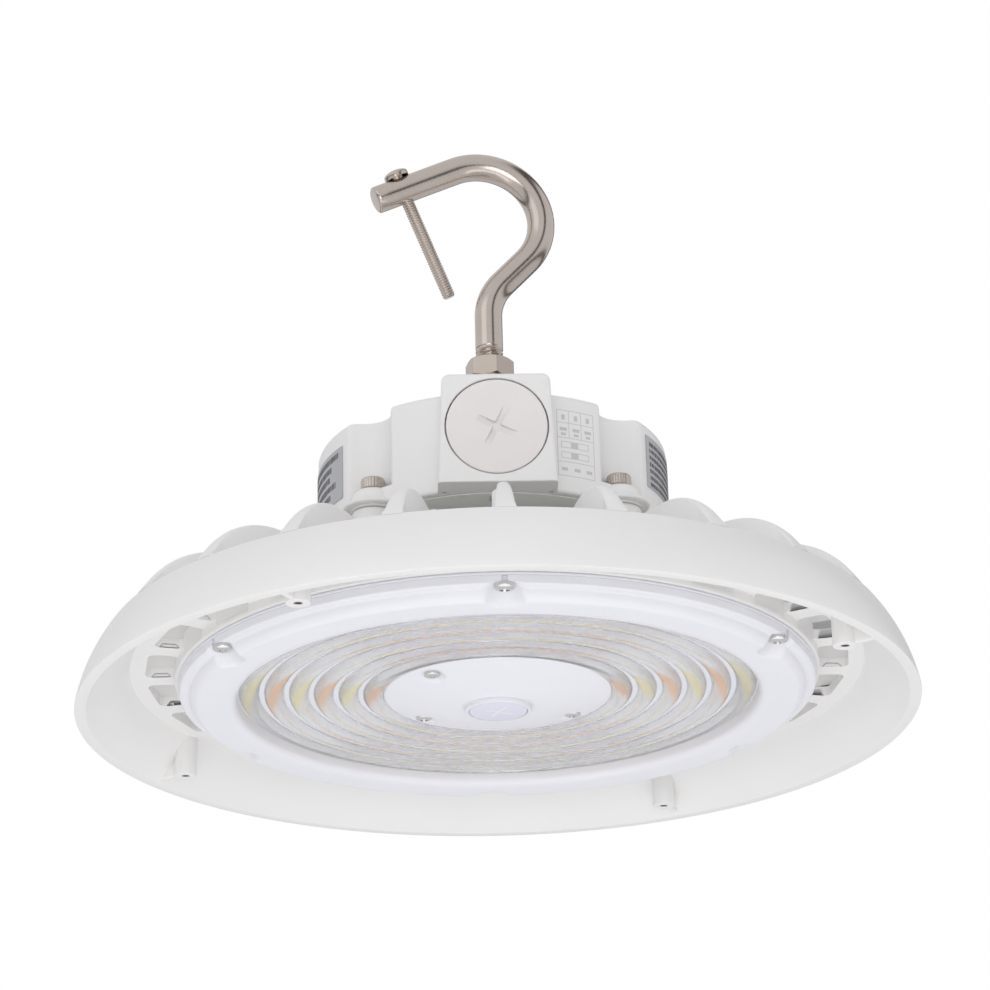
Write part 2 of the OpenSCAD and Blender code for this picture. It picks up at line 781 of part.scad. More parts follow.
// Rings of warm-white LEDs
module leds_warm() {
    color([0.95, 0.75, 0.45]) led_rings(1);
}

// Selector box on the housing's front, with tapering sides and round top corners
module selector_box() {
    foot = box_foot_w / 2;
    top = box_top_w / 2;
    slope = box_rise + bite;
    intersection() {
        rotate([90, 0, 0]) linear_extrude(box_front) polygon(concat(
            [[-foot, body_z], [foot, body_z], [top, box_top_z - box_round]],
            arc([top - box_round, box_top_z - box_round], box_round, 0, 90, 8),
            arc([box_round - top, box_top_z - box_round], box_round, 90, 180, 8)));
        rotate([90, 0, 90]) linear_extrude(box_foot_w + 2, center = true) polygon([
            [-box_front, body_z], [-box_front, box_top_z - box_front_edge],
            [box_front_edge - box_front, box_top_z], [-box_back - slope, box_top_z],
            [-box_back, box_top_z - slope], [-box_back, body_z]]);
    }
}

// Room inside the driver housing and the selector box
module driver_space() {
    room_w = box_top_w - 2 * box_wall;
    translate([0, 0, cavity_z]) cylinder(r = cavity_r, h = cavity_top_z - cavity_z);
    translate([-room_w / 2, box_front_wall - box_front, cavity_z + room_floor])
        cube([room_w, box_front - box_back, cavity_top_z - cavity_z - room_floor]);
}

// Recess in the housing's underside that takes the base plate, also its outline
module plate_shape(r, notch, z, h) {
    difference() {
        translate([0, 0, z]) cylinder(r = r, h = h);
        for (az = bolt_angles) at(az, bolt_r, z - bite) cylinder(r = notch, h = h + 2 * bite);
    }
}

// Cast driver housing: round body, side channels, ears, selector box, hook boss
module driver_housing() {
    shoulder = [driver_r - driver_round, driver_top_z - driver_round];
    color([0.88, 0.88, 0.87]) difference() {
        union() {
            difference() {
                rotate_extrude($fn = 240) polygon(concat(
                    [[0, body_z], [driver_r, body_z]],
                    arc(shoulder, driver_round, 0, 90, 6),
                    [[boss_foot_d / 2 + boss_fillet, driver_top_z],
                     [boss_foot_d / 2, driver_top_z + boss_fillet],
                     [boss_top_d / 2, boss_top_z], [0, boss_top_z]]));
                for (az = bolt_angles) {
                    at(az, channel_x, ear_top_z - seat_h) cylinder(r = channel_r, h = driver_h);
                }
            }
            for (az = bolt_angles) {
                at(az, bolt_r, driver_z) cylinder(r = ear_r, h = ear_h);
                at(az, bolt_r, ear_foot_z) cylinder(d = ear_foot_d, h = ear_foot_t);
            }
            selector_box();
        }
        driver_space();
        plate_shape(plate_hole_r, notch_r - plate_gap, driver_z - bite, plate_t + bite);
        for (az = bolt_angles) {
            at(az, bolt_r, driver_z - bite) cylinder(r = bolt_d / 2 + shank_gap, h = ear_h + 2 * bite);
        }
        for (i = [0:3]) {
            at(90 * i, plate_screw_r, cavity_z - bite)
                cylinder(r = plate_screw_d / 2 + thread_gap, h = plate_screw_l + bite);
        }
        translate([0, -box_front - bite, cap_z]) rotate([-90, 0, 0])
            cylinder(r = cap_r + cap_gap, h = cap_t + seal_t + bite);
        translate([0, -box_front, cap_z]) rotate([-90, 0, 0])
            cylinder(r = cap_bore_r, h = cap_t + cap_boss_l + hole_spare);
        translate([0, 0, boss_top_z - boss_hole_h]) cylinder(r = rod_r + thread_gap, h = boss_hole_h + bite);
    }
}

// Plate that closes the housing from below, with posts for the driver board
module driver_base_plate() {
    color([0.7, 0.71, 0.7]) difference() {
        union() {
            plate_shape(plate_r, notch_r, driver_z, plate_t);
            for (i = [0:3]) {
                at(90 * i, plate_post_in, cavity_z - bite)
                    cylinder(r = plate_post_r, h = board_post_h + bite);
            }
        }
        translate([0, 0, driver_z - bite]) cylinder(r = duct_r, h = plate_t + 2 * bite);
        for (i = [0:3]) {
            at(90 * i, plate_screw_r, driver_z - bite)
                cylinder(r = plate_screw_d / 2 + shank_gap, h = plate_t + 2 * bite);
        }
    }
}

// Screws of the base plate
module base_plate_screws() {
    color([0.7, 0.7, 0.7])
    for (i = [0:3]) {
        at(90 * i, plate_screw_r, driver_z) {
            cylinder(d = plate_screw_d, h = plate_t + plate_screw_l - hole_spare);
            mirror([0, 0, 1]) pan_head(plate_screw_head_d, plate_screw_head_h);
        }
    }
}

// Socket-head bolts that hold the driver housing on the heatsink's posts
module driver_bolts() {
    color([0.78, 0.76, 0.72])
    for (az = bolt_angles) {
        at(az, bolt_r, ear_top_z) difference() {
            union() {
                translate([0, 0, -bolt_l]) cylinder(d = bolt_d, h = bolt_l + bite);
                cylinder(d = bolt_head_d, h = bolt_head_h);
            }
            translate([0, 0, bolt_head_h / 2])
                cylinder(d = bolt_socket_w / cos(30), h = bolt_head_h, $fn = 6);
        }
    }
}

// Gasket between the wire duct and the base plate
module duct_gasket() {
    color([0.25, 0.25, 0.25])
        washer_ring(duct_r + duct_wall - duct_gasket_in, duct_r + duct_gasket_in,
            driver_z - duct_gasket_t, duct_gasket_t);
}

// Round cap with a cross slot, screwed into the front of the selector box
module selector_cap() {
    slot_turn = 26.5;
    color([0.9, 0.89, 0.88]) translate([0, -box_front, cap_z]) rotate([-90, 0, 0]) difference() {
        union() {
            cylinder(r = cap_r, h = cap_t);
            translate([0, 0, cap_t - bite]) cylinder(r = cap_bore_r - shank_gap, h = cap_boss_l + bite);
        }
        translate([0, 0, -bite]) rotate([0, 0, slot_turn]) cross_slot(cross_l, cross_w, cross_h + bite);
    }
}

// Flat seal under the selector cap
module selector_seal() {
    color([0.2, 0.2, 0.2]) translate([0, cap_seat_y - seal_t, cap_z]) rotate([-90, 0, 0])
        washer_ring(cap_r - seal_in, cap_bore_r + seal_in, 0, seal_t);
}

// Circuit board of the driver
module driver_board() {
    color([0.1, 0.4, 0.22]) washer_ring(driver_board_r, duct_r, driver_board_z, driver_board_t);
}

// Transformer on the driver board
module transformer() {
    color([0.85, 0.8, 0.35]) translate([transformer_at.x, transformer_at.y, parts_z])
        cube(transformer_size);
}

// Electrolytic capacitors on the driver board
module capacitors() {
    color([0.15, 0.15, 0.2])
    for (y = capacitor_y) translate([capacitor_x, y, parts_z]) cylinder(d = capacitor_d, h = capacitor_h);
}

// Terminal block on the driver board
module terminal_block() {
    color([0.2, 0.45, 0.3]) translate([terminal_at.x, terminal_at.y, parts_z])
        cube(terminal_size);
}

// A straight length of rod from a point in the hook's plane, leaning by angle a
module rod_length(from, a, l) {
    translate([from.x, 0, from.y]) rotate([0, a, 0]) translate([0, 0, -rod_lap])
        cylinder(r = rod_r, h = l + 2 * rod_lap);
}

// A bend of the rod about a point in the hook's plane, from angle a0 through turn
module rod_bend(mid, r, a0, turn) {
    translate([mid.x, 0, mid.y]) rotate([90, 0, 0]) rotate([0, 0, a0])
        rotate_extrude(angle = turn) translate([r, 0]) circle(r = rod_r + rod_swell);
}

// Bent rod in the hook's own plane: X sideways, Z up
module hook_rod() {
    rod_length([0, shank_z + rod_lap], 0, shank_top_z - shank_z - rod_lap);
    rod_bend([neck_r, shank_top_z], neck_r, 180 - neck_angle, neck_angle);
    rod_length(neck_end, neck_angle, neck_l);
    rod_bend(bow_mid, bow_r, -neck_angle, bow_angle);
    rod_length(tail_start, tail_angle, tail_l - rod_lap);
}

// Puts children on the safety screw's axis: the rod's middle at the origin,
// the screw's tip along +Z
module at_safety_screw() {
    translate([safety_at.x, 0, safety_at.y]) rotate([0, tail_angle, 0])
        rotate([0, 0, -safety_lean]) rotate([0, -90, 0]) children();
}

// Hanging hook
module hook() {
    color([0.74, 0.72, 0.69]) rotate([0, 0, hook_yaw]) difference() {
        hook_rod();
        at_safety_screw() translate([0, 0, -rod_d])
            cylinder(r = (safety_d + shank_gap) / 2, h = 2 * rod_d);
    }
}

// Screw across the hook's mouth that keeps it from lifting off
module safety_screw() {
    color([0.72, 0.7, 0.67]) rotate([0, 0, hook_yaw]) at_safety_screw() {
        translate([0, 0, -rod_r]) cylinder(d = safety_d, h = safety_l);
        translate([0, 0, -rod_r]) mirror([0, 0, 1]) pan_head(safety_head_d, safety_head_h);
    }
}

// Hexagon lock nut with chamfered corners
module hook_nut() {
    nut_turn = 15.5;
    corner_r = nut_w / 2 / cos(30);
    bevel = corner_r - nut_w / 2 + 0.3;
    bevel_h = bevel * 0.6;
    clear_r = corner_r + 0.1;
    color([0.76, 0.74, 0.71]) difference() {
        intersection() {
            at(nut_turn, 0, nut_z) cylinder(r = corner_r, h = nut_h, $fn = 6);
            rotate_extrude() polygon([
                [0, nut_z], [corner_r - bevel, nut_z], [clear_r, nut_z + bevel_h],
                [clear_r, nut_z + nut_h - bevel_h], [corner_r - bevel, nut_z + nut_h],
                [0, nut_z + nut_h]]);
        }
        translate([0, 0, nut_z - bite]) cylinder(r = rod_r + thread_gap, h = nut_h + 2 * bite);
    }
}

// Split spring washer under the nut
module spring_washer() {
    slot_w = 1.5;
    color([0.7, 0.69, 0.66]) difference() {
        washer_ring(spring_d / 2, rod_r + shank_gap, spring_z, spring_t);
        translate([0, -slot_w / 2, spring_z - bite]) cube([spring_d, slot_w, spring_t + 2 * bite]);
    }
}

// Flat washer on the hook boss
module flat_washer() {
    color([0.76, 0.75, 0.72]) washer_ring(washer_d / 2, rod_r + shank_gap, boss_top_z, washer_t);
}

// Curved label plate on the housing's side, from azimuth az and height z on
module label_plate(az, z) {
    color([0.72, 0.72, 0.73]) rotate([0, 0, az - 90]) rotate_extrude(angle = label_span)
        translate([driver_r + label_gap, z]) square([label_t, label_h]);
}

// Rating label on the right side
module label_right() {
    label_plate(label_az, driver_z + label_right_rise);
}

// Rating label on the left side
module label_left() {
    label_plate(-label_az - label_span, driver_z + label_left_rise);
}

heatsink();
hub_gasket();
lens_ring();
lens();
lens_screws();
centre_cover();
cover_screws();
sensor_socket();
sensor_plug();
led_board();
leds_cool();
leds_warm();
driver_housing();
driver_base_plate();
base_plate_screws();
driver_bolts();
duct_gasket();
selector_cap();
selector_seal();
driver_board();
transformer();
capacitors();
terminal_block();
hook();
hook_nut();
spring_washer();
flat_washer();
safety_screw();
label_left();
label_right();
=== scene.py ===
"""Visual model of a round LED high bay light, dressed over its CAD frame.

Lengths in the classes are millimetres, as on a drawing, and mm() turns them
to metres. Azimuths count from -Y, where the selector cap is, towards +X.
"""
from __future__ import annotations

import logging
import math
import random
from collections.abc import Callable, Iterable, Sequence
from dataclasses import dataclass, replace
from enum import Enum
from functools import partial

import bmesh
import bpy
from mathutils import Matrix, Vector


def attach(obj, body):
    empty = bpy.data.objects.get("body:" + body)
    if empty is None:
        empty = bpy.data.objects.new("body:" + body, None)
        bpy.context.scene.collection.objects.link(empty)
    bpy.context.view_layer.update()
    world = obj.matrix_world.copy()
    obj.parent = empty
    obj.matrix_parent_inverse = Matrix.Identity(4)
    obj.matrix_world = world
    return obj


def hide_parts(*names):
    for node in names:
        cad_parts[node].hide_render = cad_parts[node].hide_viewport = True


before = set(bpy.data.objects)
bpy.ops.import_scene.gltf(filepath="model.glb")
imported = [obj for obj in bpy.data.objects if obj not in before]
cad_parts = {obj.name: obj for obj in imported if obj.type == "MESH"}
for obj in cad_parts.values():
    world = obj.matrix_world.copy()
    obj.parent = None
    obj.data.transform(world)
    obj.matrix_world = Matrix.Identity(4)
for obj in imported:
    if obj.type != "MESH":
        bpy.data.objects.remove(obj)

log = logging.getLogger("high_bay")
Mesh = bmesh.types.BMesh
Point = tuple[float, float]
Triple = tuple[float, float, float]

# Places that several sub-assemblies share: azimuths in degrees, the rest in mm.
RING_SCREWS = tuple(60 * i for i in range(6))
RING_SCREW_R = 109.6
COVER_SCREWS = (-43, -130, 127)
COVER_SCREW_R = 34.5
BOLTS = (45, 135, 225, 315)
BOLT_CIRCLE_R = 61.3
STUDS = (-30, 60, 150, -120)
STUD_CIRCLE_R = 133.9
BOX_FRONT_Y = -70.0
CAP_MIDDLE_Z = 82.8
WHITE = (1.0, 1.0, 1.0, 1.0)


def mm(value: float) -> float:
    """Turns millimetres to metres."""
    return value * 0.001


def linear(hex_code: str) -> tuple[float, float, float, float]:
    """Turns an sRGB hex colour to linear RGBA.

    Args:
        hex_code: The colour as #rrggbb.

    Returns:
        Four linear components, the last one 1.
    """
    parts = [int(hex_code[i:i + 2], 16) / 255 for i in (1, 3, 5)]
    return (*(c / 12.92 if c <= 0.04045 else ((c + 0.055) / 1.055) ** 2.4 for c in parts), 1.0)


def add_node(tree: bpy.types.NodeTree, kind: str, settings: dict | None = None,
             links: dict | None = None) -> bpy.types.Node:
    """Adds a shader node with its settings and links.

    Args:
        tree: The node tree to add to.
        kind: The node's bl_idname.
        settings: Input sockets (by name or number) or properties, with values.
        links: Input sockets, with the output sockets that feed them.

    Returns:
        The new node.
    """
    node = tree.nodes.new(kind)
    for key, value in (settings or {}).items():
        if isinstance(key, int) or key in node.inputs:
            node.inputs[key].default_value = value
        else:
            setattr(node, key, value)
    for key, source in (links or {}).items():
        tree.links.new(source, node.inputs[key])
    return node


class Combine(Enum):
    """How two closed meshes become one."""

    CUT = "DIFFERENCE"
    FUSE = "UNION"


@dataclass(frozen=True)
class Finish:
    """One real material: its colour, its gloss and its fine relief.

    The colour drifts slightly between two shades on a coarse noise, the
    roughness on a finer one, and the relief is a bump of a real height.
    """

    name: str
    shade: str
    shade_low: str
    roughness: float
    roughness_swing: float = 0.05
    metallic: float = 0.0
    ior: float = 1.5
    drift_mm: float = 30.0
    grain_mm: float = 1.2
    grain_height_mm: float = 0.01
    transmission: float = 0.0
    soft_edge_mm: float = 0.0

    def make(self) -> bpy.types.Material:
        """Builds the node material, once for each finish.

        Returns:
            The material, known by the finish's name.
        """
        known = bpy.data.materials.get(self.name)
        if known:
            return known
        material = bpy.data.materials.new(self.name)
        material.use_nodes = True
        tree = material.node_tree
        tree.nodes.clear()
        place = add_node(tree, "ShaderNodeTexCoord")
        drift, grain = (
            add_node(tree, "ShaderNodeTexNoise", {"Scale": 1 / mm(size), "Detail": detail},
                     {"Vector": place.outputs["Object"]})
            for size, detail in ((self.drift_mm, 3.0), (self.grain_mm, 2.0)))
        shade = add_node(tree, "ShaderNodeMix",
                         {"data_type": "RGBA", 6: linear(self.shade_low), 7: linear(self.shade)},
                         {0: drift.outputs["Fac"]})
        gloss = add_node(tree, "ShaderNodeMapRange",
                         {"To Min": self.roughness - self.roughness_swing,
                          "To Max": self.roughness + self.roughness_swing},
                         {"Value": grain.outputs["Fac"]})
        relief = add_node(tree, "ShaderNodeBump",
                          {"Distance": mm(self.grain_height_mm), "Strength": 1.0},
                          {"Height": grain.outputs["Fac"]})
        if self.soft_edge_mm:
            rounding = add_node(tree, "ShaderNodeBevel",
                                {"samples": 6, "Radius": mm(self.soft_edge_mm)})
            tree.links.new(rounding.outputs["Normal"], relief.inputs["Normal"])
        shader = add_node(tree, "ShaderNodeBsdfPrincipled",
                          {"Metallic": self.metallic, "Transmission Weight": self.transmission},
                          {"Base Color": shade.outputs[2], "Roughness": gloss.outputs["Result"],
                           "Normal": relief.outputs["Normal"]})
        if not self.metallic:
            shader.inputs["IOR"].default_value = self.ior
        surface = shader.outputs["BSDF"]
        if self.transmission:
            surface = self.lit_through(tree, surface)
        add_node(tree, "ShaderNodeOutputMaterial", None, {"Surface": surface})
        return material

    def lit_through(self, tree: bpy.types.NodeTree,
                    surface: bpy.types.NodeSocket) -> bpy.types.NodeSocket:
        """Lets light reach what a clear part covers.

        Args:
            tree: The material's node tree.
            surface: The clear shader.

        Returns:
            The shader, plainly transparent to shadow rays and diffuse rays.
        """
        path = add_node(tree, "ShaderNodeLightPath")
        through = add_node(tree, "ShaderNodeBsdfTransparent", {"Color": linear("#f7f8fa")})
        soft = add_node(tree, "ShaderNodeMath", {"operation": "MAXIMUM"},
                        {0: path.outputs["Is Shadow Ray"], 1: path.outputs["Is Diffuse Ray"]})
        mixed = add_node(tree, "ShaderNodeMixShader", None,
                         {0: soft.outputs[0], 1: surface, 2: through.outputs[0]})
        return mixed.outputs[0]


# Polyester powder coat on die-cast aluminium: a faint orange peel, about a
# millimetre across, and a satin gloss.
POWDER_COAT = Finish("powder_coat_white", "#ebeae8", "#e6e5e2", 0.42, drift_mm=45, grain_mm=1.4,
                     grain_height_mm=0.012, soft_edge_mm=0.7)
# The same coat on the heatsink, where the casting's own corners are drawn.
POWDER_CAST = replace(POWDER_COAT, name="powder_coat_cast", soft_edge_mm=0.15)
# The same coat, thinner, on the pressed base plate of the driver. It is painted a little lighter
# than the housing's coat, as painted light that lifts the shade under the driver.
PLATE_COAT_PAINTED_LIGHT = Finish("powder_coat_plate_painted_light", "#eff1ec", "#eaece6", 0.5, grain_mm=1.1)
# Injection-moulded white polycarbonate: a smooth, slightly blue white with a
# soft sheen.
MOULDED_WHITE = Finish("polycarbonate_white", "#ebebef", "#e6e6eb", 0.34, 0.04, drift_mm=25,
                       grain_mm=2.2, grain_height_mm=0.006, soft_edge_mm=0.5)
# The same, one shade bluer, for the plug over the sensor socket.
PLUG_WHITE = Finish("polycarbonate_plug", "#e0e0ec", "#dbdbe8", 0.36, 0.04, drift_mm=12,
                    grain_mm=1.5, grain_height_mm=0.005, soft_edge_mm=0.2)
# Moulded ABS cap, a warmer white than the paint beside it.
CAP_WHITE = Finish("abs_cap_white", "#e9e5e2", "#e4e0dd", 0.4, 0.04, drift_mm=15,
                   grain_mm=0.9, grain_height_mm=0.006, soft_edge_mm=0.35)
# Clear acrylic, moulded and polished: it bends what lies behind it.
ACRYLIC = Finish("acrylic_clear", "#fbfcfd", "#f9fafc", 0.19, 0.01, ior=1.45, drift_mm=40,
                 grain_mm=8.0, grain_height_mm=0.0, transmission=0.96)
# The same acrylic, etched in the mould: it scatters nearly all light.
ACRYLIC_SATIN = Finish("acrylic_satin", "#f0f0f4", "#ebebf0", 0.5, 0.03, grain_mm=1.0,
                       grain_height_mm=0.004, transmission=0.3)
# Satin nickel plate on steel rod: warm grey, with a fine soft gloss.
SATIN_NICKEL = Finish("satin_nickel", "#cfc4bb", "#c3b9af", 0.2, 0.04, metallic=1.0, drift_mm=9,
                      grain_mm=0.6, grain_height_mm=0.0007)
# The same on the nut and washers, with turned corners. It is painted a shade darker than the rod,
# as painted shade, because their flat facets mirror the bright room.
NUT_NICKEL_SHADED = replace(SATIN_NICKEL, name="nut_nickel_painted_shade", shade="#c2b7ac", shade_low="#b7aca1",
                     roughness=0.26, soft_edge_mm=0.35)
# Bright stainless screws, tumbled smooth.
BRIGHT_STEEL = Finish("stainless_bright", "#dedddc", "#d3d2d1", 0.12, 0.04, metallic=1.0,
                      drift_mm=3, grain_mm=0.4, grain_height_mm=0.001)
# Stainless socket heads, cold formed: duller and warmer.
SOCKET_STEEL = Finish("stainless_formed", "#cfc6bd", "#c2b9b0", 0.26, 0.06, metallic=1.0,
                      drift_mm=4, grain_mm=0.5, grain_height_mm=0.003)
# White solder mask on the aluminium LED board: an even satin ink.
SOLDER_MASK = Finish("solder_mask_white", "#fafaf8", "#f7f7f4", 0.35, drift_mm=20, grain_mm=0.8,
                     grain_height_mm=0.004)
# Silicone resin with phosphor over the LED chips: pale yellow, or orange
# for the warm white ones.
PHOSPHOR_COOL = Finish("phosphor_cool", "#fff0a0", "#fae88e", 0.4, drift_mm=2, grain_mm=0.5)
PHOSPHOR_WARM = replace(PHOSPHOR_COOL, name="phosphor_warm", shade="#ffbc6a", shade_low="#fbb05a")
# White silicone bead between the lens ring and the hub: dull and even.
SILICONE_WHITE = Finish("silicone_white", "#e4e4ea", "#dedee5", 0.5, 0.04, drift_mm=10,
                        grain_mm=1.5)
# Dark fill in the screw holes of the skirt's bosses: painted shade of the deep, narrow holes.
HOLE_SHADE_DARK = Finish("painted_hole_shade", "#35322f", "#2c2a28", 0.6, drift_mm=2, grain_mm=0.4)
# Grey silicone foam of the gaskets: open cells, no gloss.
SILICONE = Finish("silicone_gasket", "#8b8d8e", "#7f8182", 0.7, drift_mm=6, grain_mm=0.7,
                  grain_height_mm=0.03)
# Rating labels of silver-grey polyester film, with a weak sheen.
LABEL_FILM = Finish("polyester_label", "#b4b5b8", "#abacaf", 0.38, drift_mm=18, grain_mm=1.6,
                    grain_height_mm=0.008)
# Thermal-transfer ink of the label rows, and the paler pad print of the table.
INK_GREY = Finish("ink_grey", "#5c5a59", "#545251", 0.5, drift_mm=5, grain_mm=0.5,
                  grain_height_mm=0.002)
INK_PALE = replace(INK_GREY, name="ink_pale", shade="#cac9c7", shade_low="#c4c3c1")
# Green fibreglass board of the driver, under a satin solder mask.
BOARD_GREEN = Finish("fibreglass_green", "#1f6b3d", "#195c34", 0.45, drift_mm=8, grain_mm=0.6)
# Yellow polyester tape round the transformer.
TAPE_YELLOW = Finish("polyester_tape", "#d8c04a", "#cbb23d", 0.35, drift_mm=6, grain_mm=0.5)
# Shrunk PVC sleeve of the capacitors.
SLEEVE_DARK = Finish("pvc_sleeve", "#26262e", "#1f1f26", 0.3, drift_mm=6, grain_mm=0.7,
                     grain_height_mm=0.005)
# Moulded green polyamide of the terminal block.
TERMINAL_GREEN = Finish("polyamide_terminal", "#3a7d54", "#327049", 0.45, drift_mm=6, grain_mm=0.7)

# The finish of every CAD node, also of those that a piece stands for.
NODE_FINISHES: dict[str, Finish] = {
    "heatsink": POWDER_COAT, "hub_gasket": SILICONE_WHITE, "lens_ring": MOULDED_WHITE,
    "lens": ACRYLIC, "lens_screws": BRIGHT_STEEL, "centre_cover": MOULDED_WHITE,
    "cover_screws": BRIGHT_STEEL, "sensor_socket": MOULDED_WHITE, "sensor_plug": PLUG_WHITE,
    "led_board": SOLDER_MASK, "leds_cool": PHOSPHOR_COOL, "leds_warm": PHOSPHOR_WARM,
    "driver_housing": POWDER_COAT, "driver_base_plate": PLATE_COAT_PAINTED_LIGHT,
    "base_plate_screws": BRIGHT_STEEL, "driver_bolts": SOCKET_STEEL, "duct_gasket": SILICONE,
    "selector_cap": CAP_WHITE, "selector_seal": SILICONE, "driver_board": BOARD_GREEN,
    "transformer": TAPE_YELLOW, "capacitors": SLEEVE_DARK, "terminal_block": TERMINAL_GREEN,
    "hook": SATIN_NICKEL, "hook_nut": NUT_NICKEL_SHADED, "spring_washer": NUT_NICKEL_SHADED,
    "flat_washer": NUT_NICKEL_SHADED, "safety_screw": SATIN_NICKEL, "label_left": LABEL_FILM,
    "label_right": LABEL_FILM,
}


def dress_nodes(finishes: dict[str, Finish]) -> None:
    """Gives each CAD node its finish.

    Args:
        finishes: The finish of each node, by node name.
    """
    for name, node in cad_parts.items():
        material = finishes[name].make()
        for mesh_slot in node.material_slots:
            mesh_slot.material = material
        log.info("node %s: %s", name, material.name)


def arc(centre: Point, radius: float, start: float, end: float, steps: int) -> list[Point]:
    """Points of an arc.

    Args:
        centre: Its centre.
        radius: Its radius.
        start: Angle of the first point, in degrees.
        end: Angle of the last point.
        steps: Number of chords.

    Returns:
        The points, first and last included.
    """
    angles = [math.radians(start + (end - start) * i / steps) for i in range(steps + 1)]
    return [(centre[0] + radius * math.cos(a), centre[1] + radius * math.sin(a)) for a in angles]


def bowed(start: Point, end: Point, bow: float, steps: int) -> list[Point]:
    """Points from start to end that bow out sideways.

    Args:
        start: First point.
        end: Last point.
        bow: Height of the bow, to the right of the way from start to end.
        steps: Number of chords.

    Returns:
        The points, first and last included.
    """
    way = Vector(end) - Vector(start)
    side = Vector((way.y, -way.x)).normalized()
    ts = [i / steps for i in range(steps + 1)]
    return [tuple(Vector(start) + way * t + side * bow * 4 * t * (1 - t)) for t in ts]


def eased(start: float, end: float, part: float) -> float:
    """Value that goes smoothly from start to end as part goes from 0 to 1, and holds there."""
    t = min(max(part, 0), 1)
    return start + (end - start) * t * t * (3 - 2 * t)


def quarter(steps: int) -> list[float]:
    """Angles of a quarter turn in radians, first and last included."""
    return [math.pi / 2 * i / steps for i in range(steps + 1)]


def thread_crest(height: float, pitch: float, turn: float) -> float:
    """1 at a thread's crest and 0 at its root, at a height and an angle in turns."""
    return abs(2 * ((height / pitch - turn) % 1) - 1)


def softened(outline: Sequence[Point], radius: float, steps: int = 3) -> list[Point]:
    """Rounds the corners of a closed outline.

    Args:
        outline: Its corners. One that turns less than 25 degrees stays as it is.
        radius: Radius of the rounding, less where an edge is short.
        steps: Chords in each rounding.

    Returns:
        The rounded outline.
    """
    least_turn, shortest, share = 25.0, 1e-6, 0.45
    result: list[Point] = []
    count = len(outline)
    for i in range(count):
        before, here, after = (Vector(outline[(i + k) % count]) for k in (-1, 0, 1))
        one, two = before - here, after - here
        if one.length < shortest or two.length < shortest:
            continue
        turn = math.pi - one.angle(two)
        if math.degrees(turn) < least_turn:
            result.append(tuple(here))
            continue
        back = min(radius * math.tan(turn / 2), share * one.length, share * two.length)
        first, last = here + one.normalized() * back, here + two.normalized() * back
        for k in range(steps + 1):
            t = k / steps
            result.append(tuple(first * (1 - t) ** 2 + here * 2 * t * (1 - t) + last * t ** 2))
    return result


def azimuth_turn(azimuth: float) -> Matrix:
    """Turn that takes +X to an azimuth counted from -Y towards +X."""
    return Matrix.Rotation(math.radians(azimuth - 90), 4, "Z")


def at(azimuth: float, radius: float, height: float = 0.0) -> Matrix:
    """Place at a radius on an azimuth and a height in mm, with +X pointing outward."""
    return azimuth_turn(azimuth) @ Matrix.Translation((mm(radius), 0, mm(height)))


def facing_front() -> Matrix:
    """Place of a round part in the front of the box, with its +Z going inward."""
    middle = Matrix.Translation((0, mm(BOX_FRONT_Y), mm(CAP_MIDDLE_Z)))
    return middle @ Matrix.Rotation(-math.pi / 2, 4, "X")


def spun(outline: Sequence[Point], segments: int, closed: bool = True) -> Mesh:
    """Turns an outline in (radius, height) round the Z axis.

    Args:
        outline: Points in mm.
        segments: Number of steps round.
        closed: Whether the last point joins the first. If not, both lie on the axis.

    Returns:
        A closed mesh in metres with its faces pointing outwards.
    """
    bm = bmesh.new()
    verts = [bm.verts.new((mm(max(r, 0.0)), 0, mm(z))) for r, z in outline]
    pairs = list(zip(verts, verts[1:])) + ([(verts[-1], verts[0])] if closed else [])
    edges = [bm.edges.new(pair) for pair in pairs]
    bmesh.ops.spin(bm, geom=verts + edges, cent=(0, 0, 0), axis=(0, 0, 1), angle=math.tau,
                   steps=segments, use_merge=True)
    bmesh.ops.remove_doubles(bm, verts=bm.verts, dist=1e-7)
    bmesh.ops.recalc_face_normals(bm, faces=bm.faces)
    return bm


def cylinder(radius: float, low: float, high: float, segments: int) -> Mesh:
    """Cylinder on the Z axis between two heights in mm."""
    return spun([(0.0, low), (radius, low), (radius, high), (0.0, high)], segments, closed=False)


def block(size: Triple, middle: Triple) -> Mesh:
    """Box with square edges, for a cutter or a bar.

    Args:
        size: Its size in mm.
        middle: Its middle point in mm.

    Returns:
        A closed mesh in metres.
    """
    bm = bmesh.new()
    bmesh.ops.create_cube(bm, size=1.0)
    bmesh.ops.scale(bm, verts=bm.verts, vec=tuple(mm(c) for c in size))
    bmesh.ops.translate(bm, verts=bm.verts, vec=tuple(mm(c) for c in middle))
    return bm


def lofted(sections: Sequence[Sequence[Vector]]) -> Mesh:
    """Skins closed sections, one after the other, and closes both ends.

    Args:
        sections: Points in mm, the same number in each section.

    Returns:
        A closed mesh in metres.
    """
    across = len(sections[0]) + 1
    bm = bmesh.new()
    bmesh.ops.create_grid(bm, x_segments=len(sections) - 1, y_segments=across - 1, size=1.0)
    order = sorted(bm.verts, key=lambda v: (round(v.co.x, 6), round(v.co.y, 6)))
    for number, vert in enumerate(order):
        section = sections[number // across]
        vert.co = section[number % across % len(section)] * 0.001
    bmesh.ops.remove_doubles(bm, verts=bm.verts, dist=1e-8)
    bmesh.ops.holes_fill(bm, edges=[e for e in bm.edges if e.is_boundary], sides=0)
    bmesh.ops.recalc_face_normals(bm, faces=bm.faces)
    return bm


def ring_section(place: Matrix, segments: int, radius: Callable[[float], float]) -> list[Vector]:
    """One round section about a place's own Z axis.

    Args:
        place: Where it lies, in mm.
        segments: Number of points.
        radius: Radius in mm at each angle, the angle given as a part of a turn.

    Returns:
        The points in mm.
    """
    points = []
    for t in (i / segments for i in range(segments)):
        r, angle = radius(t), math.tau * t
        points.append(place @ Vector((r * math.cos(angle), r * math.sin(angle), 0)))
    return points


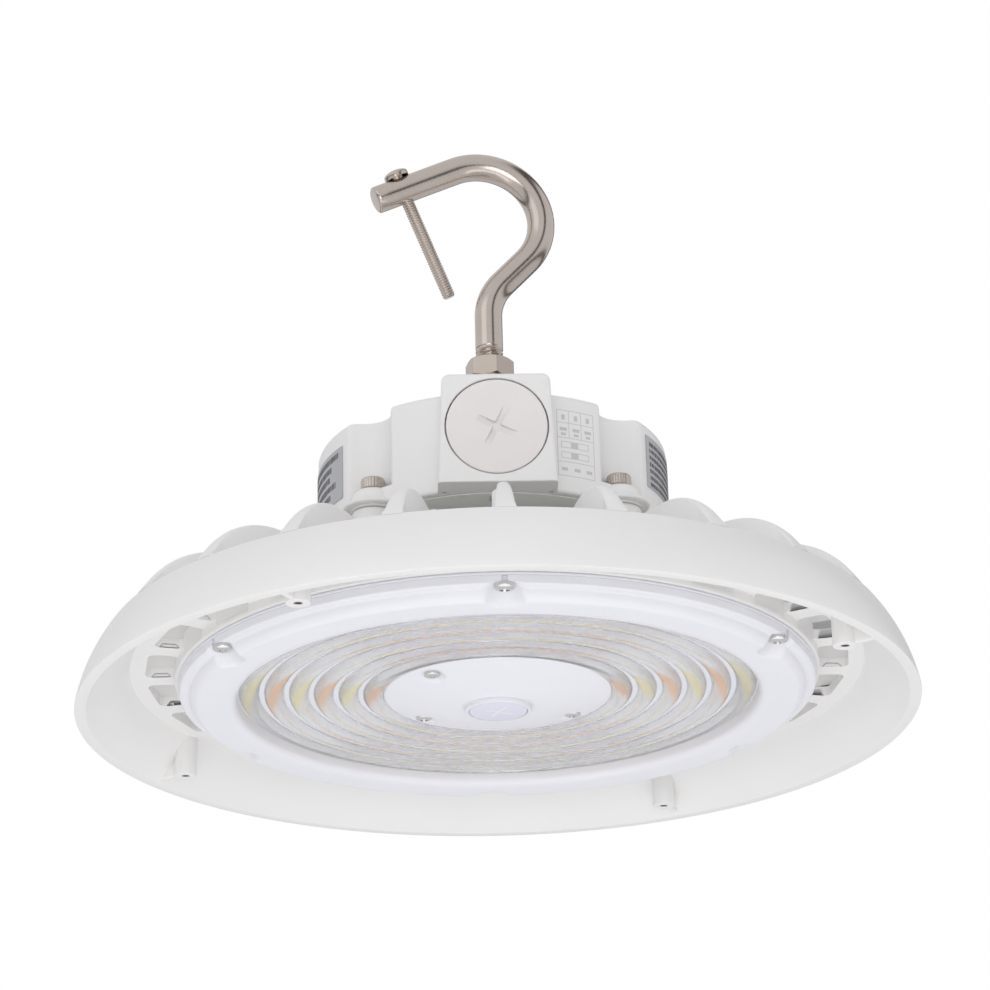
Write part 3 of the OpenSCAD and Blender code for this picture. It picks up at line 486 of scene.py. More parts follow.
def curved_plate(radius: float, thick: float, azimuths: Point, heights: Point) -> Mesh:
    """Thin plate bent round the Z axis.

    Args:
        radius: Radius of its inner face.
        thick: Its thickness.
        azimuths: Where it starts and ends, in degrees.
        heights: Its lower and upper edge.

    Returns:
        A closed mesh in metres.
    """
    steps = max(1, math.ceil(abs(azimuths[1] - azimuths[0]) / 3))
    sections = []
    for i in range(steps + 1):
        turn = azimuth_turn(azimuths[0] + (azimuths[1] - azimuths[0]) * i / steps)
        sections.append([turn @ Vector((r, 0, z)) for r, z in (
            (radius, heights[0]), (radius + thick, heights[0]),
            (radius + thick, heights[1]), (radius, heights[1]))])
    return lofted(sections)


def prism(outline: Sequence[Point], low: float, high: float) -> Mesh:
    """Upright prism over a closed outline in mm, between two heights."""
    return lofted([[Vector((x, y, z)) for x, y in outline] for z in (low, high)])


def bar(side: Sequence[Point], width: float) -> Mesh:
    """Bar with one outline in (x, z), in mm, on both its sides, centred on Y."""
    return lofted([[Vector((x, y, z)) for x, z in side] for y in (-width / 2, width / 2)])


def add_copies(target: Mesh, part: Mesh, places: Iterable[Matrix]) -> None:
    """Adds copies of one mesh to another.

    Args:
        target: The mesh that grows.
        part: The mesh to copy. It is freed.
        places: Where the copies go.
    """
    for place in places:
        carrier = bpy.data.meshes.new("carrier")
        part.to_mesh(carrier)
        carrier.transform(place)
        target.from_mesh(carrier)
        bpy.data.meshes.remove(carrier)
    part.free()


def repeated(part: Mesh, places: Iterable[Matrix]) -> Mesh:
    """Makes one mesh of copies of a part, each in its place. The part is freed."""
    whole = bmesh.new()
    add_copies(whole, part, places)
    return whole


def gathered(parts: Iterable[Mesh]) -> Mesh:
    """Puts meshes together in one as they are.

    Args:
        parts: The meshes. They are freed.

    Returns:
        The one mesh.
    """
    whole = bmesh.new()
    for part in parts:
        add_copies(whole, part, [Matrix.Identity(4)])
    return whole


def cut(body: Mesh, tool: Mesh, how: Combine = Combine.CUT) -> Mesh:
    """Cuts one closed mesh out of another, or joins the two.

    Args:
        body: The mesh to work on. It is freed.
        tool: What is cut away or added. It is freed.
        how: Whether the tool is cut away or fused on.

    Returns:
        The mesh that is left.
    """
    items = []
    for label, bm in (("cut_body", body), ("cut_tool", tool)):
        mesh = bpy.data.meshes.new(label)
        bm.to_mesh(mesh)
        bm.free()
        item = bpy.data.objects.new(label, mesh)
        bpy.context.collection.objects.link(item)
        items.append(item)
    work = items[0].modifiers.new("cut", "BOOLEAN")
    work.operation = how.value
    work.solver = "EXACT"
    work.object = items[1]
    result = bmesh.new()
    result.from_object(items[0], bpy.context.evaluated_depsgraph_get())
    for item in items:
        mesh = item.data
        bpy.data.objects.remove(item)
        bpy.data.meshes.remove(mesh)
    return result


def fused(parts: Sequence[Mesh]) -> Mesh:
    """Makes closed meshes that overlap into one.

    Args:
        parts: The meshes. They are freed.

    Returns:
        One closed mesh.
    """
    whole = parts[0]
    for part in parts[1:]:
        whole = cut(whole, part, Combine.FUSE)
    return whole


def put(name: str, bm: Mesh, finish: Finish, node: str = "",
        crease_deg: float = 32.0) -> None:
    """Makes a finished piece of a mesh and fixes it to the light.

    Args:
        name: The piece's name.
        bm: Its mesh in metres, in place. It is freed.
        finish: Its finish.
        node: The CAD node that it replaces, if it does.
        crease_deg: Edges sharper than this stay crisp.
    """
    mesh = bpy.data.meshes.new(name)
    for face in bm.faces:
        face.smooth = True
    bm.to_mesh(mesh)
    bm.free()
    mesh.set_sharp_from_angle(angle=math.radians(crease_deg))
    mesh.materials.append(finish.make())
    item = bpy.data.objects.new(name, mesh)
    bpy.context.collection.objects.link(item)
    if node:
        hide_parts(node)
    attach(item, "root")
    log.info("piece %s: %d faces", name, len(mesh.polygons))


@dataclass
class Heatsink:
    """Die-cast body: skirt, vents, fins, posts and bosses, with soft cast edges."""

    rim_r: float = 150.0
    lip_w: float = 4.0
    skirt_top: Point = (140.0, 24.0)
    skirt_bow: float = 1.4
    inner_bow: float = 1.0
    vent_z: float = 15.5
    vent_t: float = 3.5
    hub_r: float = 115.0
    vent_r: float = 125.5
    ledge_r: float = 131.0
    seat_z: float = 12.0
    recess_r: float = 98.0
    plate_z: float = 15.6
    hub_top_z: float = 21.6
    duct: Point = (9.0, 14.0)
    duct_top_z: float = 60.0
    fin_count: int = 24
    fin_base_t: float = 8.6
    fin_tip_t: float = 2.6
    fin_top_z: float = 46.5
    crest: Point = (108.0, 42.9)
    valley_r: float = 98.0
    shoulder_r: float = 85.0
    fin_inner_r: float = 48.0
    fin_corner: float = 3.0
    foot_fillet: float = 2.4
    top_round: float = 1.7
    window_round: float = 3.0
    wall_foot_z: float = 0.6
    cast_round: float = 0.5
    top_edge_round: float = 0.15
    fin_reach: float = 126.0
    post_r: float = 7.6
    post_top_z: float = 61.5
    boss_r: float = 3.5
    boss_top_z: float = 42.0
    cap_round: float = 1.4
    stud_r: float = 4.2
    stud_end_z: float = 0.9
    stud_hole_r: float = 1.45
    stud_hole_h: float = 9.0
    stud_rib_t: float = 2.2

    def half_width(self, z: float) -> float:
        """Half the thickness of a fin at height z."""
        slope = (self.fin_base_t - self.fin_tip_t) / (self.fin_top_z - self.vent_z)
        return (self.fin_base_t - slope * (z - self.vent_z)) / 2

    def crown_z(self, r: float) -> float:
        """Height of a fin's top: hump, valley, inner stretch and corner.

        Args:
            r: Radius from the middle of the light.

        Returns:
            The height in mm.
        """
        top_r, top_z = self.skirt_top
        run, drop = top_r - self.crest[0], self.crest[1] - top_z
        hump_r = (run * run + drop * drop) / (2 * drop)
        mid_z = self.crest[1] - hump_r
        if r >= self.valley_r:
            return mid_z + math.sqrt(max(hump_r ** 2 - (r - self.crest[0]) ** 2, 0))
        valley_z = mid_z + math.sqrt(hump_r ** 2 - (self.valley_r - self.crest[0]) ** 2)
        if r >= self.shoulder_r:
            part = (self.valley_r - r) / (self.valley_r - self.shoulder_r)
            return eased(valley_z, self.fin_top_z, part)
        return self.fin_top_z - max(self.fin_inner_r + self.fin_corner - r, 0)

    def deck_z(self, r: float) -> float:
        """Height of the casting's upper side beside a fin.

        Args:
            r: Radius from the middle of the light.

        Returns:
            The height in mm. It sinks a little at the skirt's top edge, so that no fin ends there.
        """
        top_r, top_z = self.skirt_top
        inner_z = self.vent_z + self.vent_t
        sink_run, sink_depth = 1.2, 0.35
        if r > self.vent_r:
            sink = sink_depth * (max(r - top_r + sink_run, 0) / sink_run) ** 2
            return inner_z + (top_z - inner_z) * (r - self.vent_r) / (top_r - self.vent_r) - sink
        return self.vent_z if r > self.hub_r else self.hub_top_z

    def body(self) -> Mesh:
        """Skirt, vent ring, hub and duct as one turned shape with the vents cut out.

        Returns:
            A closed mesh in metres.
        """
        top_r, top_z = self.skirt_top
        duct_in, duct_out = self.duct
        deck, lip_r = self.vent_z + self.vent_t, self.rim_r - self.lip_w
        round_r = self.top_edge_round
        side = bowed((self.rim_r, self.wall_foot_z), self.skirt_top, self.skirt_bow, 10)
        inner = bowed((self.ledge_r, self.vent_z), (lip_r, self.wall_foot_z), self.inner_bow, 6)
        edge = arc((top_r - round_r, top_z - round_r - 0.02), round_r, 15, 105, 5)
        outline = [(lip_r, 0.0), (self.rim_r, 0.0), *side[:-1], *edge, (top_r - 2, top_z - 0.4),
                   (self.vent_r, deck), (self.hub_r, deck), (self.hub_r, self.hub_top_z),
                   (duct_out, self.hub_top_z), (duct_out, self.duct_top_z),
                   (duct_in, self.duct_top_z), (duct_in, self.plate_z),
                   (self.recess_r, self.plate_z), (self.recess_r, self.seat_z),
                   (self.hub_r, self.seat_z), (self.hub_r, self.vent_z), *inner[:-1]]
        return cut(spun(softened(outline, self.cast_round), 288), self.windows())

    def windows(self) -> Mesh:
        """The vents between the fins, with round corners and an arched outer side.

        Returns:
            Closed solids to cut away, in metres.
        """
        half_pitch = math.pi / self.fin_count
        foot = self.fin_base_t / 2 - 0.15
        near, far = self.hub_r + 0.02, self.vent_r
        corners = [(r * math.cos(spread), side * r * math.sin(spread))
                   for r, side in ((near, -1), (far, -1), (far, 1), (near, 1))
                   for spread in [half_pitch - math.asin(foot / r)]]
        out_x, half_w = corners[1][0], abs(corners[1][1])
        one = bmesh.new()
        ring = []
        for x, y in softened(corners, self.window_round, 5):
            reach = min(abs(y) / half_w, 1)
            lift = (far - out_x) * (1 - reach * reach) if x > (self.hub_r + far) / 2 else 0
            ring.append(one.verts.new((mm(x + lift), mm(y), mm(self.vent_z - 2))))
        raised = bmesh.ops.extrude_face_region(one, geom=[one.faces.new(ring)])["geom"]
        bmesh.ops.translate(one, verts=[v for v in raised if isinstance(v, bmesh.types.BMVert)],
                            vec=(0, 0, mm(self.vent_t + 8)))
        bmesh.ops.recalc_face_normals(one, faces=one.faces)
        return repeated(one, [azimuth_turn(math.degrees(half_pitch) * (2 * i + 1))
                              for i in range(self.fin_count)])

    def fin(self) -> Mesh:
        """One fin along +X: a drafted web with a round crown and a flared foot.

        Returns:
            A closed mesh in metres.
        """
        stations = self.fin_stations()
        arch, flare = 5, 4
        half = 2 + flare + arch
        across = 2 * half + 1
        bm = bmesh.new()
        bmesh.ops.create_grid(bm, x_segments=len(stations) - 1, y_segments=across - 1, size=1.0)
        order = sorted(bm.verts, key=lambda v: (round(v.co.x, 5), round(v.co.y, 5)))
        for number, vert in enumerate(order):
            r = stations[number // across]
            place = number % across - half
            y, z = self.fin_point(r, half - abs(place), flare, arch)
            vert.co = (mm(r), mm(math.copysign(y, place) if place else 0), mm(z))
        bmesh.ops.holes_fill(bm, edges=[e for e in bm.edges if e.is_boundary], sides=0)
        bmesh.ops.recalc_face_normals(bm, faces=bm.faces)
        return bm

    def fin_stations(self) -> list[float]:
        """Radii at which a fin's section is drawn, close together where it changes fast.

        Returns:
            The radii in mm, from the inner end to just past the skirt's top.
        """
        top_r, reach = self.skirt_top[0], self.fin_reach
        inner = [self.fin_inner_r, self.fin_inner_r + 1, self.fin_inner_r + self.fin_corner, 60, 72]
        middle = [self.shoulder_r + (self.valley_r - self.shoulder_r) * i / 6 for i in range(7)]
        outer = [self.valley_r + (reach - self.valley_r) * i / 10 for i in range(1, 11)]
        run = top_r - self.top_edge_round - reach
        last = [reach + run * (1 - (1 - i / 12) ** 1.6) for i in range(1, 13)]
        return inner + middle + outer + last + [top_r + 0.02]

    def fin_point(self, r: float, rung: int, flare: int, arch: int) -> Point:
        """Sideways and upward place of one point of a fin's section.

        Args:
            r: Radius of the section.
            rung: Number of the point, from 0 at the foot to the crown.
            flare: Number of chords in the foot's fillet.
            arch: Number of chords from the side to the crown.

        Returns:
            Half width and height in mm.
        """
        deck, crown = self.deck_z(r), self.crown_z(r)
        room, in_vent = crown - deck, self.hub_r < r <= self.vent_r
        lift, sunk, fade_run = 0.3, -0.05, 2.5
        fade = min(max((r - self.vent_r) / fade_run, 0), 1)
        fillet = min(self.foot_fillet, room * 0.9) * fade
        if rung == 0:
            return self.half_width(self.vent_z), self.vent_z + (0.02 if in_vent else lift)
        if rung <= 1 + flare:
            lean = math.radians(90 * (rung - 1) / flare)
            z = deck + (lift if in_vent else sunk) + fillet * (1 - math.cos(lean))
            return self.half_width(z) + fillet * (1 - math.sin(lean)), z
        over = min(self.top_round, max(room - fillet, 0.02))
        if rung == 2 + flare + arch:
            return 0.0, crown
        lean = math.radians(90 * (rung - 1 - flare) / (arch + 1))
        wide = self.half_width(crown - over) * math.cos(lean) ** 0.9
        return wide, crown - over * (1 - math.sin(lean))

    def stud(self) -> Mesh:
        """Screw boss inside the skirt, with its hole and its rib to the wall, along +X.

        Returns:
            A closed mesh in metres.
        """
        top, end, hole_r = self.vent_z + 1, self.stud_end_z, self.stud_hole_r
        hole_top, foot_z = end + self.stud_hole_h, end + 0.4
        outline = [(0.0, hole_top), (hole_r, hole_top), (hole_r, end), (self.stud_r, end),
                   (self.stud_r, top), (0.0, top)]
        bm = spun([*outline[:2], *softened(outline, 0.4)[4:-4], outline[5]], 40, closed=False)
        bmesh.ops.translate(bm, verts=bm.verts, vec=(mm(STUD_CIRCLE_R), 0, 0))
        start = STUD_CIRCLE_R + hole_r + 0.9
        wall_foot, wall_top = self.rim_r - self.lip_w * 0.6, (self.ledge_r + self.skirt_top[0]) / 2
        rib = bar([(start, foot_z), (wall_foot, foot_z), (wall_top, top), (start, top)],
                  self.stud_rib_t)
        low = [e for e in rib.edges if all(v.co.z < mm(foot_z + 0.1) for v in e.verts)
               and abs(e.verts[0].co.y - e.verts[1].co.y) < mm(0.1)]
        bmesh.ops.bevel(rib, geom=low, offset=mm(0.6), segments=3, profile=0.5, affect="EDGES",
                        material=-1)
        return gathered([bm, rib])

    def rounded_top(self, radius: float, top_z: float) -> list[Point]:
        """Points of an upright's round top edge, ending on its axis."""
        soft = self.cap_round
        return [*arc((radius - soft, top_z - soft), soft, 0, 90, 5), (0.0, top_z)]

    def build(self) -> None:
        """Joins the casting's parts and puts it in place of its CAD node."""
        bm, low = self.body(), self.hub_top_z - 1
        pitch = 360 / self.fin_count
        add_copies(bm, self.fin(), [azimuth_turn(pitch * i) for i in range(self.fin_count)])
        post_top, boss_top = (self.rounded_top(radius, top_z) for radius, top_z in (
            (self.post_r, self.post_top_z), (self.boss_r, self.boss_top_z)))
        post = spun([(0.0, low), (self.post_r, low), *post_top], 48, closed=False)
        add_copies(bm, post, [at(a, BOLT_CIRCLE_R) for a in BOLTS])
        boss = spun([(self.boss_r, low), *boss_top], 32, closed=False)
        add_copies(bm, boss, [at(a, RING_SCREW_R) for a in RING_SCREWS])
        add_copies(bm, self.stud(), [azimuth_turn(a) for a in STUDS])
        put("heatsink_casting", bm, POWDER_CAST, "heatsink")


@dataclass
class LightRings:
    """Rows of LED chips under the clear lens, and the ridged lens itself."""

    rows: int = 6
    outer_r: float = 88.6
    pitch: float = 8.8
    led_z: float = 13.2
    led_t: float = 0.8
    chip: Point = (3.5, 2.9)
    chip_edge: float = 0.25
    chip_pitch: float = 4.6
    group: int = 3
    group_gap: float = 0.06
    lens_r: float = 100.4
    lens_hole_r: float = 28.0
    lens_top_z: float = 11.0
    lens_z: float = 9.2
    ridge_w: float = 7.2
    ridge_h: float = 2.0
    ridge_steps: int = 24
    flange_t: float = 0.2
    land_t: float = 0.12
    land_edge: float = 0.05
    clear_r: Point = (40.8, 92.4)
    steps: int = 256

    def chips(self, first: int) -> Mesh:
        """Every second row of chips.

        Args:
            first: Number of the first row, from outside.

        Returns:
            The chips of those rows as one mesh.
        """
        one = bmesh.new()
        bmesh.ops.create_cube(one, size=1.0)
        bmesh.ops.scale(one, verts=one.verts, vec=[mm(c) for c in (*self.chip, self.led_t)])
        low = [e for e in one.edges if all(v.co.z < 0 for v in e.verts)]
        bmesh.ops.bevel(one, geom=low, offset=mm(self.chip_edge), segments=1, profile=0.5,
                        affect="EDGES", material=-1)
        places, middle_z = [], mm(self.led_z + self.led_t / 2)
        for row in range(first, self.rows, 2):
            r = self.outer_r - row * self.pitch
            count = self.group * round(math.tau * r / self.chip_pitch / self.group)
            for i in range(count):
                nudge = (i % self.group - (self.group - 1) / 2) * self.group_gap
                turn = Matrix.Rotation(math.tau * (i - nudge) / count, 4, "Z")
                places.append(turn @ Matrix.Translation((mm(r), 0, middle_z)))
        return repeated(one, places)

    def lens(self) -> Mesh:
        """Clear lens, with a smooth half-round ridge under each row and thin flanges.

        Returns:
            A closed mesh in metres.
        """
        inner, outer = self.clear_r
        skin_z, half = self.lens_top_z - self.flange_t, self.ridge_w / 2
        outline: list[Point] = [(self.lens_hole_r, self.lens_top_z), (self.lens_r, self.lens_top_z),
                                (self.lens_r, skin_z), (outer, skin_z), (outer, self.lens_z)]
        angles = [math.pi * i / self.ridge_steps for i in range(self.ridge_steps + 1)]
        for row in range(self.rows):
            mid = self.outer_r - row * self.pitch
            outline += [(mid + math.cos(a) * half, self.lens_z - math.sin(a) * self.ridge_h)
                        for a in angles]
        outline += [(inner, self.lens_z), (inner, skin_z), (self.lens_hole_r, skin_z)]
        return spun(outline, self.steps)

    def lands(self) -> Mesh:
        """Satin lands of the lens, between its ridges.

        Returns:
            One thin closed ring for each land, in one mesh.
        """
        reach, low, edge = self.ridge_w / 2 - 0.1, self.lens_z - self.land_t, self.land_edge
        middles = [self.outer_r - row * self.pitch for row in range(self.rows)]
        return gathered(spun([(near + reach, self.lens_z), (near + reach + edge, low),
                              (far - reach - edge, low), (far - reach, self.lens_z)], self.steps)
                        for far, near in zip(middles, middles[1:]))

    def borders(self) -> Mesh:
        """White rings that grip the lens under its flanges, outside and inside the rows.

        Returns:
            Both rings in one mesh.
        """
        low, high = self.lens_z + 0.02, self.lens_top_z - self.flange_t - 0.02
        (inner, outer), gap, inset = self.clear_r, 0.04, 0.1
        return gathered(spun([(near, low), (far, low), (far, high), (near, high)], self.steps)
                        for near, far in ((outer + gap, self.lens_r - inset),
                                          (self.lens_hole_r + inset, inner - gap)))

    def build(self) -> None:
        """Makes the chips, the lens and what goes between them."""
        put("led_chips_cool", self.chips(0), PHOSPHOR_COOL, "leds_cool")
        put("led_chips_warm", self.chips(1), PHOSPHOR_WARM, "leds_warm")
        put("ridged_lens", self.lens(), ACRYLIC, "lens", crease_deg=50)
        put("lens_satin_lands", self.lands(), ACRYLIC_SATIN)
        put("lens_white_borders", self.borders(), MOULDED_WHITE)


@dataclass
class LensRing:
    """Moulded ring that holds the lens, with a soft dimple and a slot at each screw."""

    outer_r: float = 113.3
    top_z: float = 11.0
    flange_z: float = 7.6
    face_r: float = 108.5
    face_z: float = 3.6
    window_r: float = 93.0
    rebate_r: float = 100.7
    lens_z: float = 9.2
    dimple: Point = (3.7, 7.5)
    dimple_z: float = 9.0
    dimple_reach: float = 9.0
    slot: Triple = (2.0, 1.8, 2.6)
    hole_r: float = 2.3
    steps: int = 900

    def profile(self) -> list[Point]:
        """Section of the ring, with close points over its face.

        Returns:
            Points in (radius, height), in mm.
        """
        flange = [(self.outer_r - 0.7 * i, self.flange_z) for i in range(1, 5)]
        shoulder = bowed((self.face_r + 1.2, self.flange_z - 0.4),
                         (self.face_r - 1.6, self.face_z), -0.6, 6)
        face = [(self.face_r - 2.2 - 0.9 * i, self.face_z) for i in range(11)]
        window = bowed((self.window_r + 2.5, self.face_z + 0.2),
                       (self.window_r, self.lens_z - 3.2), -0.5, 5)
        return [(self.rebate_r, self.lens_z), (self.rebate_r, self.top_z),
                (self.outer_r, self.top_z), (self.outer_r, self.flange_z + 0.6),
                *flange, *shoulder, *face, *window, (self.window_r, self.lens_z)]

    def dent(self, bm: Mesh) -> None:
        """Draws the face up to the screw seats in soft funnels.

        Args:
            bm: The ring's mesh in metres.
        """
        near, far = self.dimple
        pitch, seat_r = 360 / len(RING_SCREWS), RING_SCREW_R
        for vert in bm.verts:
            x, y, z = (c * 1000 for c in vert.co)
            r, turn = math.hypot(x, y), math.degrees(math.atan2(x, -y)) % pitch
            side = math.radians(min(turn, pitch - turn))
            gap = math.sqrt(max(r * r + seat_r ** 2 - 2 * r * seat_r * math.cos(side), 0))
            if gap < far and z < self.dimple_z and r > self.face_r - self.dimple_reach:
                vert.co.z = mm(eased(z, self.dimple_z, (far - gap) / (far - near)))

    def build(self) -> None:
        """Makes the ring with its screw holes and slots."""
        bm = spun(self.profile(), self.steps)
        self.dent(bm)
        slot = block(self.slot, (self.outer_r + 0.2, 0, self.dimple_z + self.slot[2] / 2 - 0.6))
        hole = cylinder(self.hole_r, self.face_z - 1, self.top_z + 1, 24)
        bm = cut(bm, repeated(hole, [at(a, RING_SCREW_R) for a in RING_SCREWS]))
        bm = cut(bm, repeated(slot, [azimuth_turn(a) for a in RING_SCREWS]))
        put("lens_ring_moulding", bm, MOULDED_WHITE, "lens_ring")


@dataclass
class Screw:
    """Pan-head screw along +Z: head below z = 0, threaded shank above it."""

    head_d: float
    head_h: float
    shank_d: float
    shank_l: float
    pitch: float = 0.7
    plain_l: float = 1.0
    thread_h: float = 0.3

    def head(self) -> Mesh:
        """Round head with a cross recess.

        Returns:
            A closed mesh in metres.
        """
        rim, radius = 0.42 * self.head_h, self.head_d / 2
        crown = [(radius * math.cos(a), -rim - (self.head_h - rim) * math.sin(a))
                 for a in quarter(12)]
        bm = spun([(0.0, 0.0), (radius - 0.15, 0.0), (radius, -0.15), *crown], 64, closed=False)
        half, wide, deep = 0.26 * self.head_d, 0.13 * self.head_d, 0.55 * self.head_h
        above, floor = -self.head_h - 0.1, -self.head_h + deep
        side = [(-half, above), (-wide / 2, floor), (wide / 2, floor), (half, above)]
        for turn in (0, math.pi / 2):
            wing = bar(side, wide)
            bmesh.ops.rotate(wing, verts=wing.verts, cent=(0, 0, 0),
                             matrix=Matrix.Rotation(turn, 3, "Z"))
            bm = cut(bm, wing)
        return bm

    def shank_r(self, z: float, turn: float) -> float:
        """Radius of the shank, with its rolled thread and its chamfered end.

        Args:
            z: Height above the head.
            turn: Angle in turns.

        Returns:
            The radius in mm.
        """
        radius, chamfer, slope = self.shank_d / 2, 1.0, 0.7
        end = max(z - self.shank_l + chamfer, 0) * slope
        depth = self.thread_h * min(max((z - self.plain_l) / self.pitch, 0), 1)
        return min(radius - depth * (1 - thread_crest(z, self.pitch, turn)), radius - end)

    def shank(self) -> Mesh:
        """Threaded shank, sunk a little into the head.

        Returns:
            A closed mesh in metres.
        """
        steps_per_turn, sunk = 8, 0.3
        count = math.ceil(self.shank_l / self.pitch * steps_per_turn)
        heights = [self.shank_l * i / count for i in range(count + 1)]
        return lofted([ring_section(Matrix.Translation((0, 0, z or -sunk)), 32,
                                    partial(self.shank_r, z)) for z in heights])

    def whole(self) -> Mesh:
        """Head and shank in one mesh."""
        return gathered((self.head(), self.shank()))


@dataclass
class SmallScrews:
    """Screws of the lens ring and of the centre cover."""

    ring_seat_z: float = 9.0
    cover_seat_z: float = 8.2
    next_turn: float = 0.7

    def build(self) -> None:
        """Makes both sets in place of their CAD nodes, each screw turned a little further."""
        ring = Screw(7.0, 2.3, 4.0, 10.0)
        cover = Screw(5.8, 1.7, 3.0, 9.0, pitch=0.5, thread_h=0.2)
        for name, screw, azimuths, radius, seat_z in (
                ("lens_screw", ring, RING_SCREWS, RING_SCREW_R, self.ring_seat_z),
                ("cover_screw", cover, COVER_SCREWS, COVER_SCREW_R, self.cover_seat_z)):
            places = [at(azimuth, radius, seat_z) @ Matrix.Rotation(self.next_turn * number, 4, "Z")
                      for number, azimuth in enumerate(azimuths)]
            put(f"{name}_set", repeated(screw.whole(), places), BRIGHT_STEEL,
                f"{name}s")


@dataclass
class CentreCover:
    """Shallow white dome over the middle of the lens, with its plug."""

    outer_r: float = 40.7
    edge_z: float = 8.4
    face_z: float = 3.6
    top_z: float = 9.2
    pad_r: float = 12.6
    bore_r: float = 9.2
    wall: float = 2.2
    solid_r: float = 28.0
    rim: float = 0.5
    hole_r: float = 1.8
    dimple: Point = (3.2, 5.0)
    dimple_z: float = 8.2

    def outside(self, r: float) -> float:
        """Height of the dome's outside.

        Args:
            r: Radius from the middle of the light.

        Returns:
            The height in mm.
        """
        rise = self.edge_z - self.face_z
        big = (self.outer_r ** 2 + rise ** 2) / (2 * rise)
        return self.face_z + big - math.sqrt(big * big - r * r)

    def build(self) -> None:
        """Makes the dome, with a soft dimple round each screw."""
        rim_r = self.outer_r - self.rim
        radii = [rim_r - (rim_r - self.pad_r) * i / 44 for i in range(45)]
        inside = [self.bore_r + (self.solid_r - self.bore_r) * i / 8 for i in range(9)]
        outline = [(self.outer_r, self.top_z), (self.outer_r, self.edge_z + 0.3),
                   (self.outer_r - 0.15, self.edge_z + 0.05),
                   *[(r, self.outside(r)) for r in radii],
                   (self.pad_r - 0.3, self.face_z), (self.bore_r, self.face_z),
                   *[(r, self.outside(r) + self.wall) for r in inside],
                   (self.solid_r + 0.2, self.top_z)]
        bm = spun(outline, 360)
        near, far = self.dimple
        turns = [math.radians(azimuth) for azimuth in COVER_SCREWS]
        for vert in bm.verts:
            x, y, z = (c * 1000 for c in vert.co)
            for a in turns:
                gap = math.hypot(x - COVER_SCREW_R * math.sin(a), y + COVER_SCREW_R * math.cos(a))
                if gap < far and z < self.dimple_z:
                    vert.co.z = mm(eased(z, self.dimple_z, (far - gap) / (far - near)))
        holes = repeated(cylinder(self.hole_r, 0, 12, 24),
                         [at(a, COVER_SCREW_R) for a in COVER_SCREWS])
        put("centre_cover_dome", cut(bm, holes), MOULDED_WHITE, "centre_cover")


@dataclass
class SmallMouldings:
    """Bead between ring and hub, blanking plug, and a dark fill in the holes of the skirt's bosses
    that paints their shade.
    """

    bead: Triple = (98.5, 113.3, 11.5)
    bead_round: float = 0.5
    plug_r: float = 10.4
    plug_z: Point = (2.0, 3.0)
    plug_round: float = 0.4
    stub: Point = (7.8, 8.0)
    cross: Triple = (12.0, 1.7, 0.3)
    cross_turn_deg: float = 26.0
    # Radius, low end and high end of the dark fill in each boss hole, which paints the hole's
    # shade.
    thread: Triple = (1.43, 1.3, 9.7)

    def plug(self) -> Mesh:
        """Disc with a rounded rim and a stub behind it.

        Returns:
            A closed mesh in metres.
        """
        (low, high), (stub_r, stub_z), soft = self.plug_z, self.stub, self.plug_round
        outline = [(0.0, low), *arc((self.plug_r - soft, low + soft), soft, -90, 0, 4),
                   (self.plug_r, high), (stub_r, high), (stub_r, stub_z), (0.0, stub_z)]
        return spun(outline, 96, closed=False)

    def marks(self) -> Mesh:
        """Raised cross on the plug's face."""
        return fused([repeated(block(self.cross, (0, 0, self.plug_z[0] + 0.05)),
                               [Matrix.Rotation(math.radians(self.cross_turn_deg + turn), 4, "Z")])
                      for turn in (0, 90)])

    def build(self) -> None:
        """Makes the bead, the plug, its cross and the dark fill that paints the shade in the boss
        holes.
        """
        (inner, outer, middle), soft = self.bead, self.bead_round
        bead = spun([(inner, middle - soft), *arc((outer, middle), soft, -90, 90, 6),
                     (inner, middle + soft)], 240)
        # A dark cylinder in each boss hole, as painted shade.
        threads = repeated(cylinder(*self.thread, segments=32),
                           [at(a, STUD_CIRCLE_R) for a in STUDS])
        put("hub_bead", bead, SILICONE_WHITE, "hub_gasket")
        put("plug_disc", self.plug(), PLUG_WHITE, "sensor_plug")
        put("plug_cross", self.marks(), MOULDED_WHITE)
        put("boss_hole_shade", threads, HOLE_SHADE_DARK)


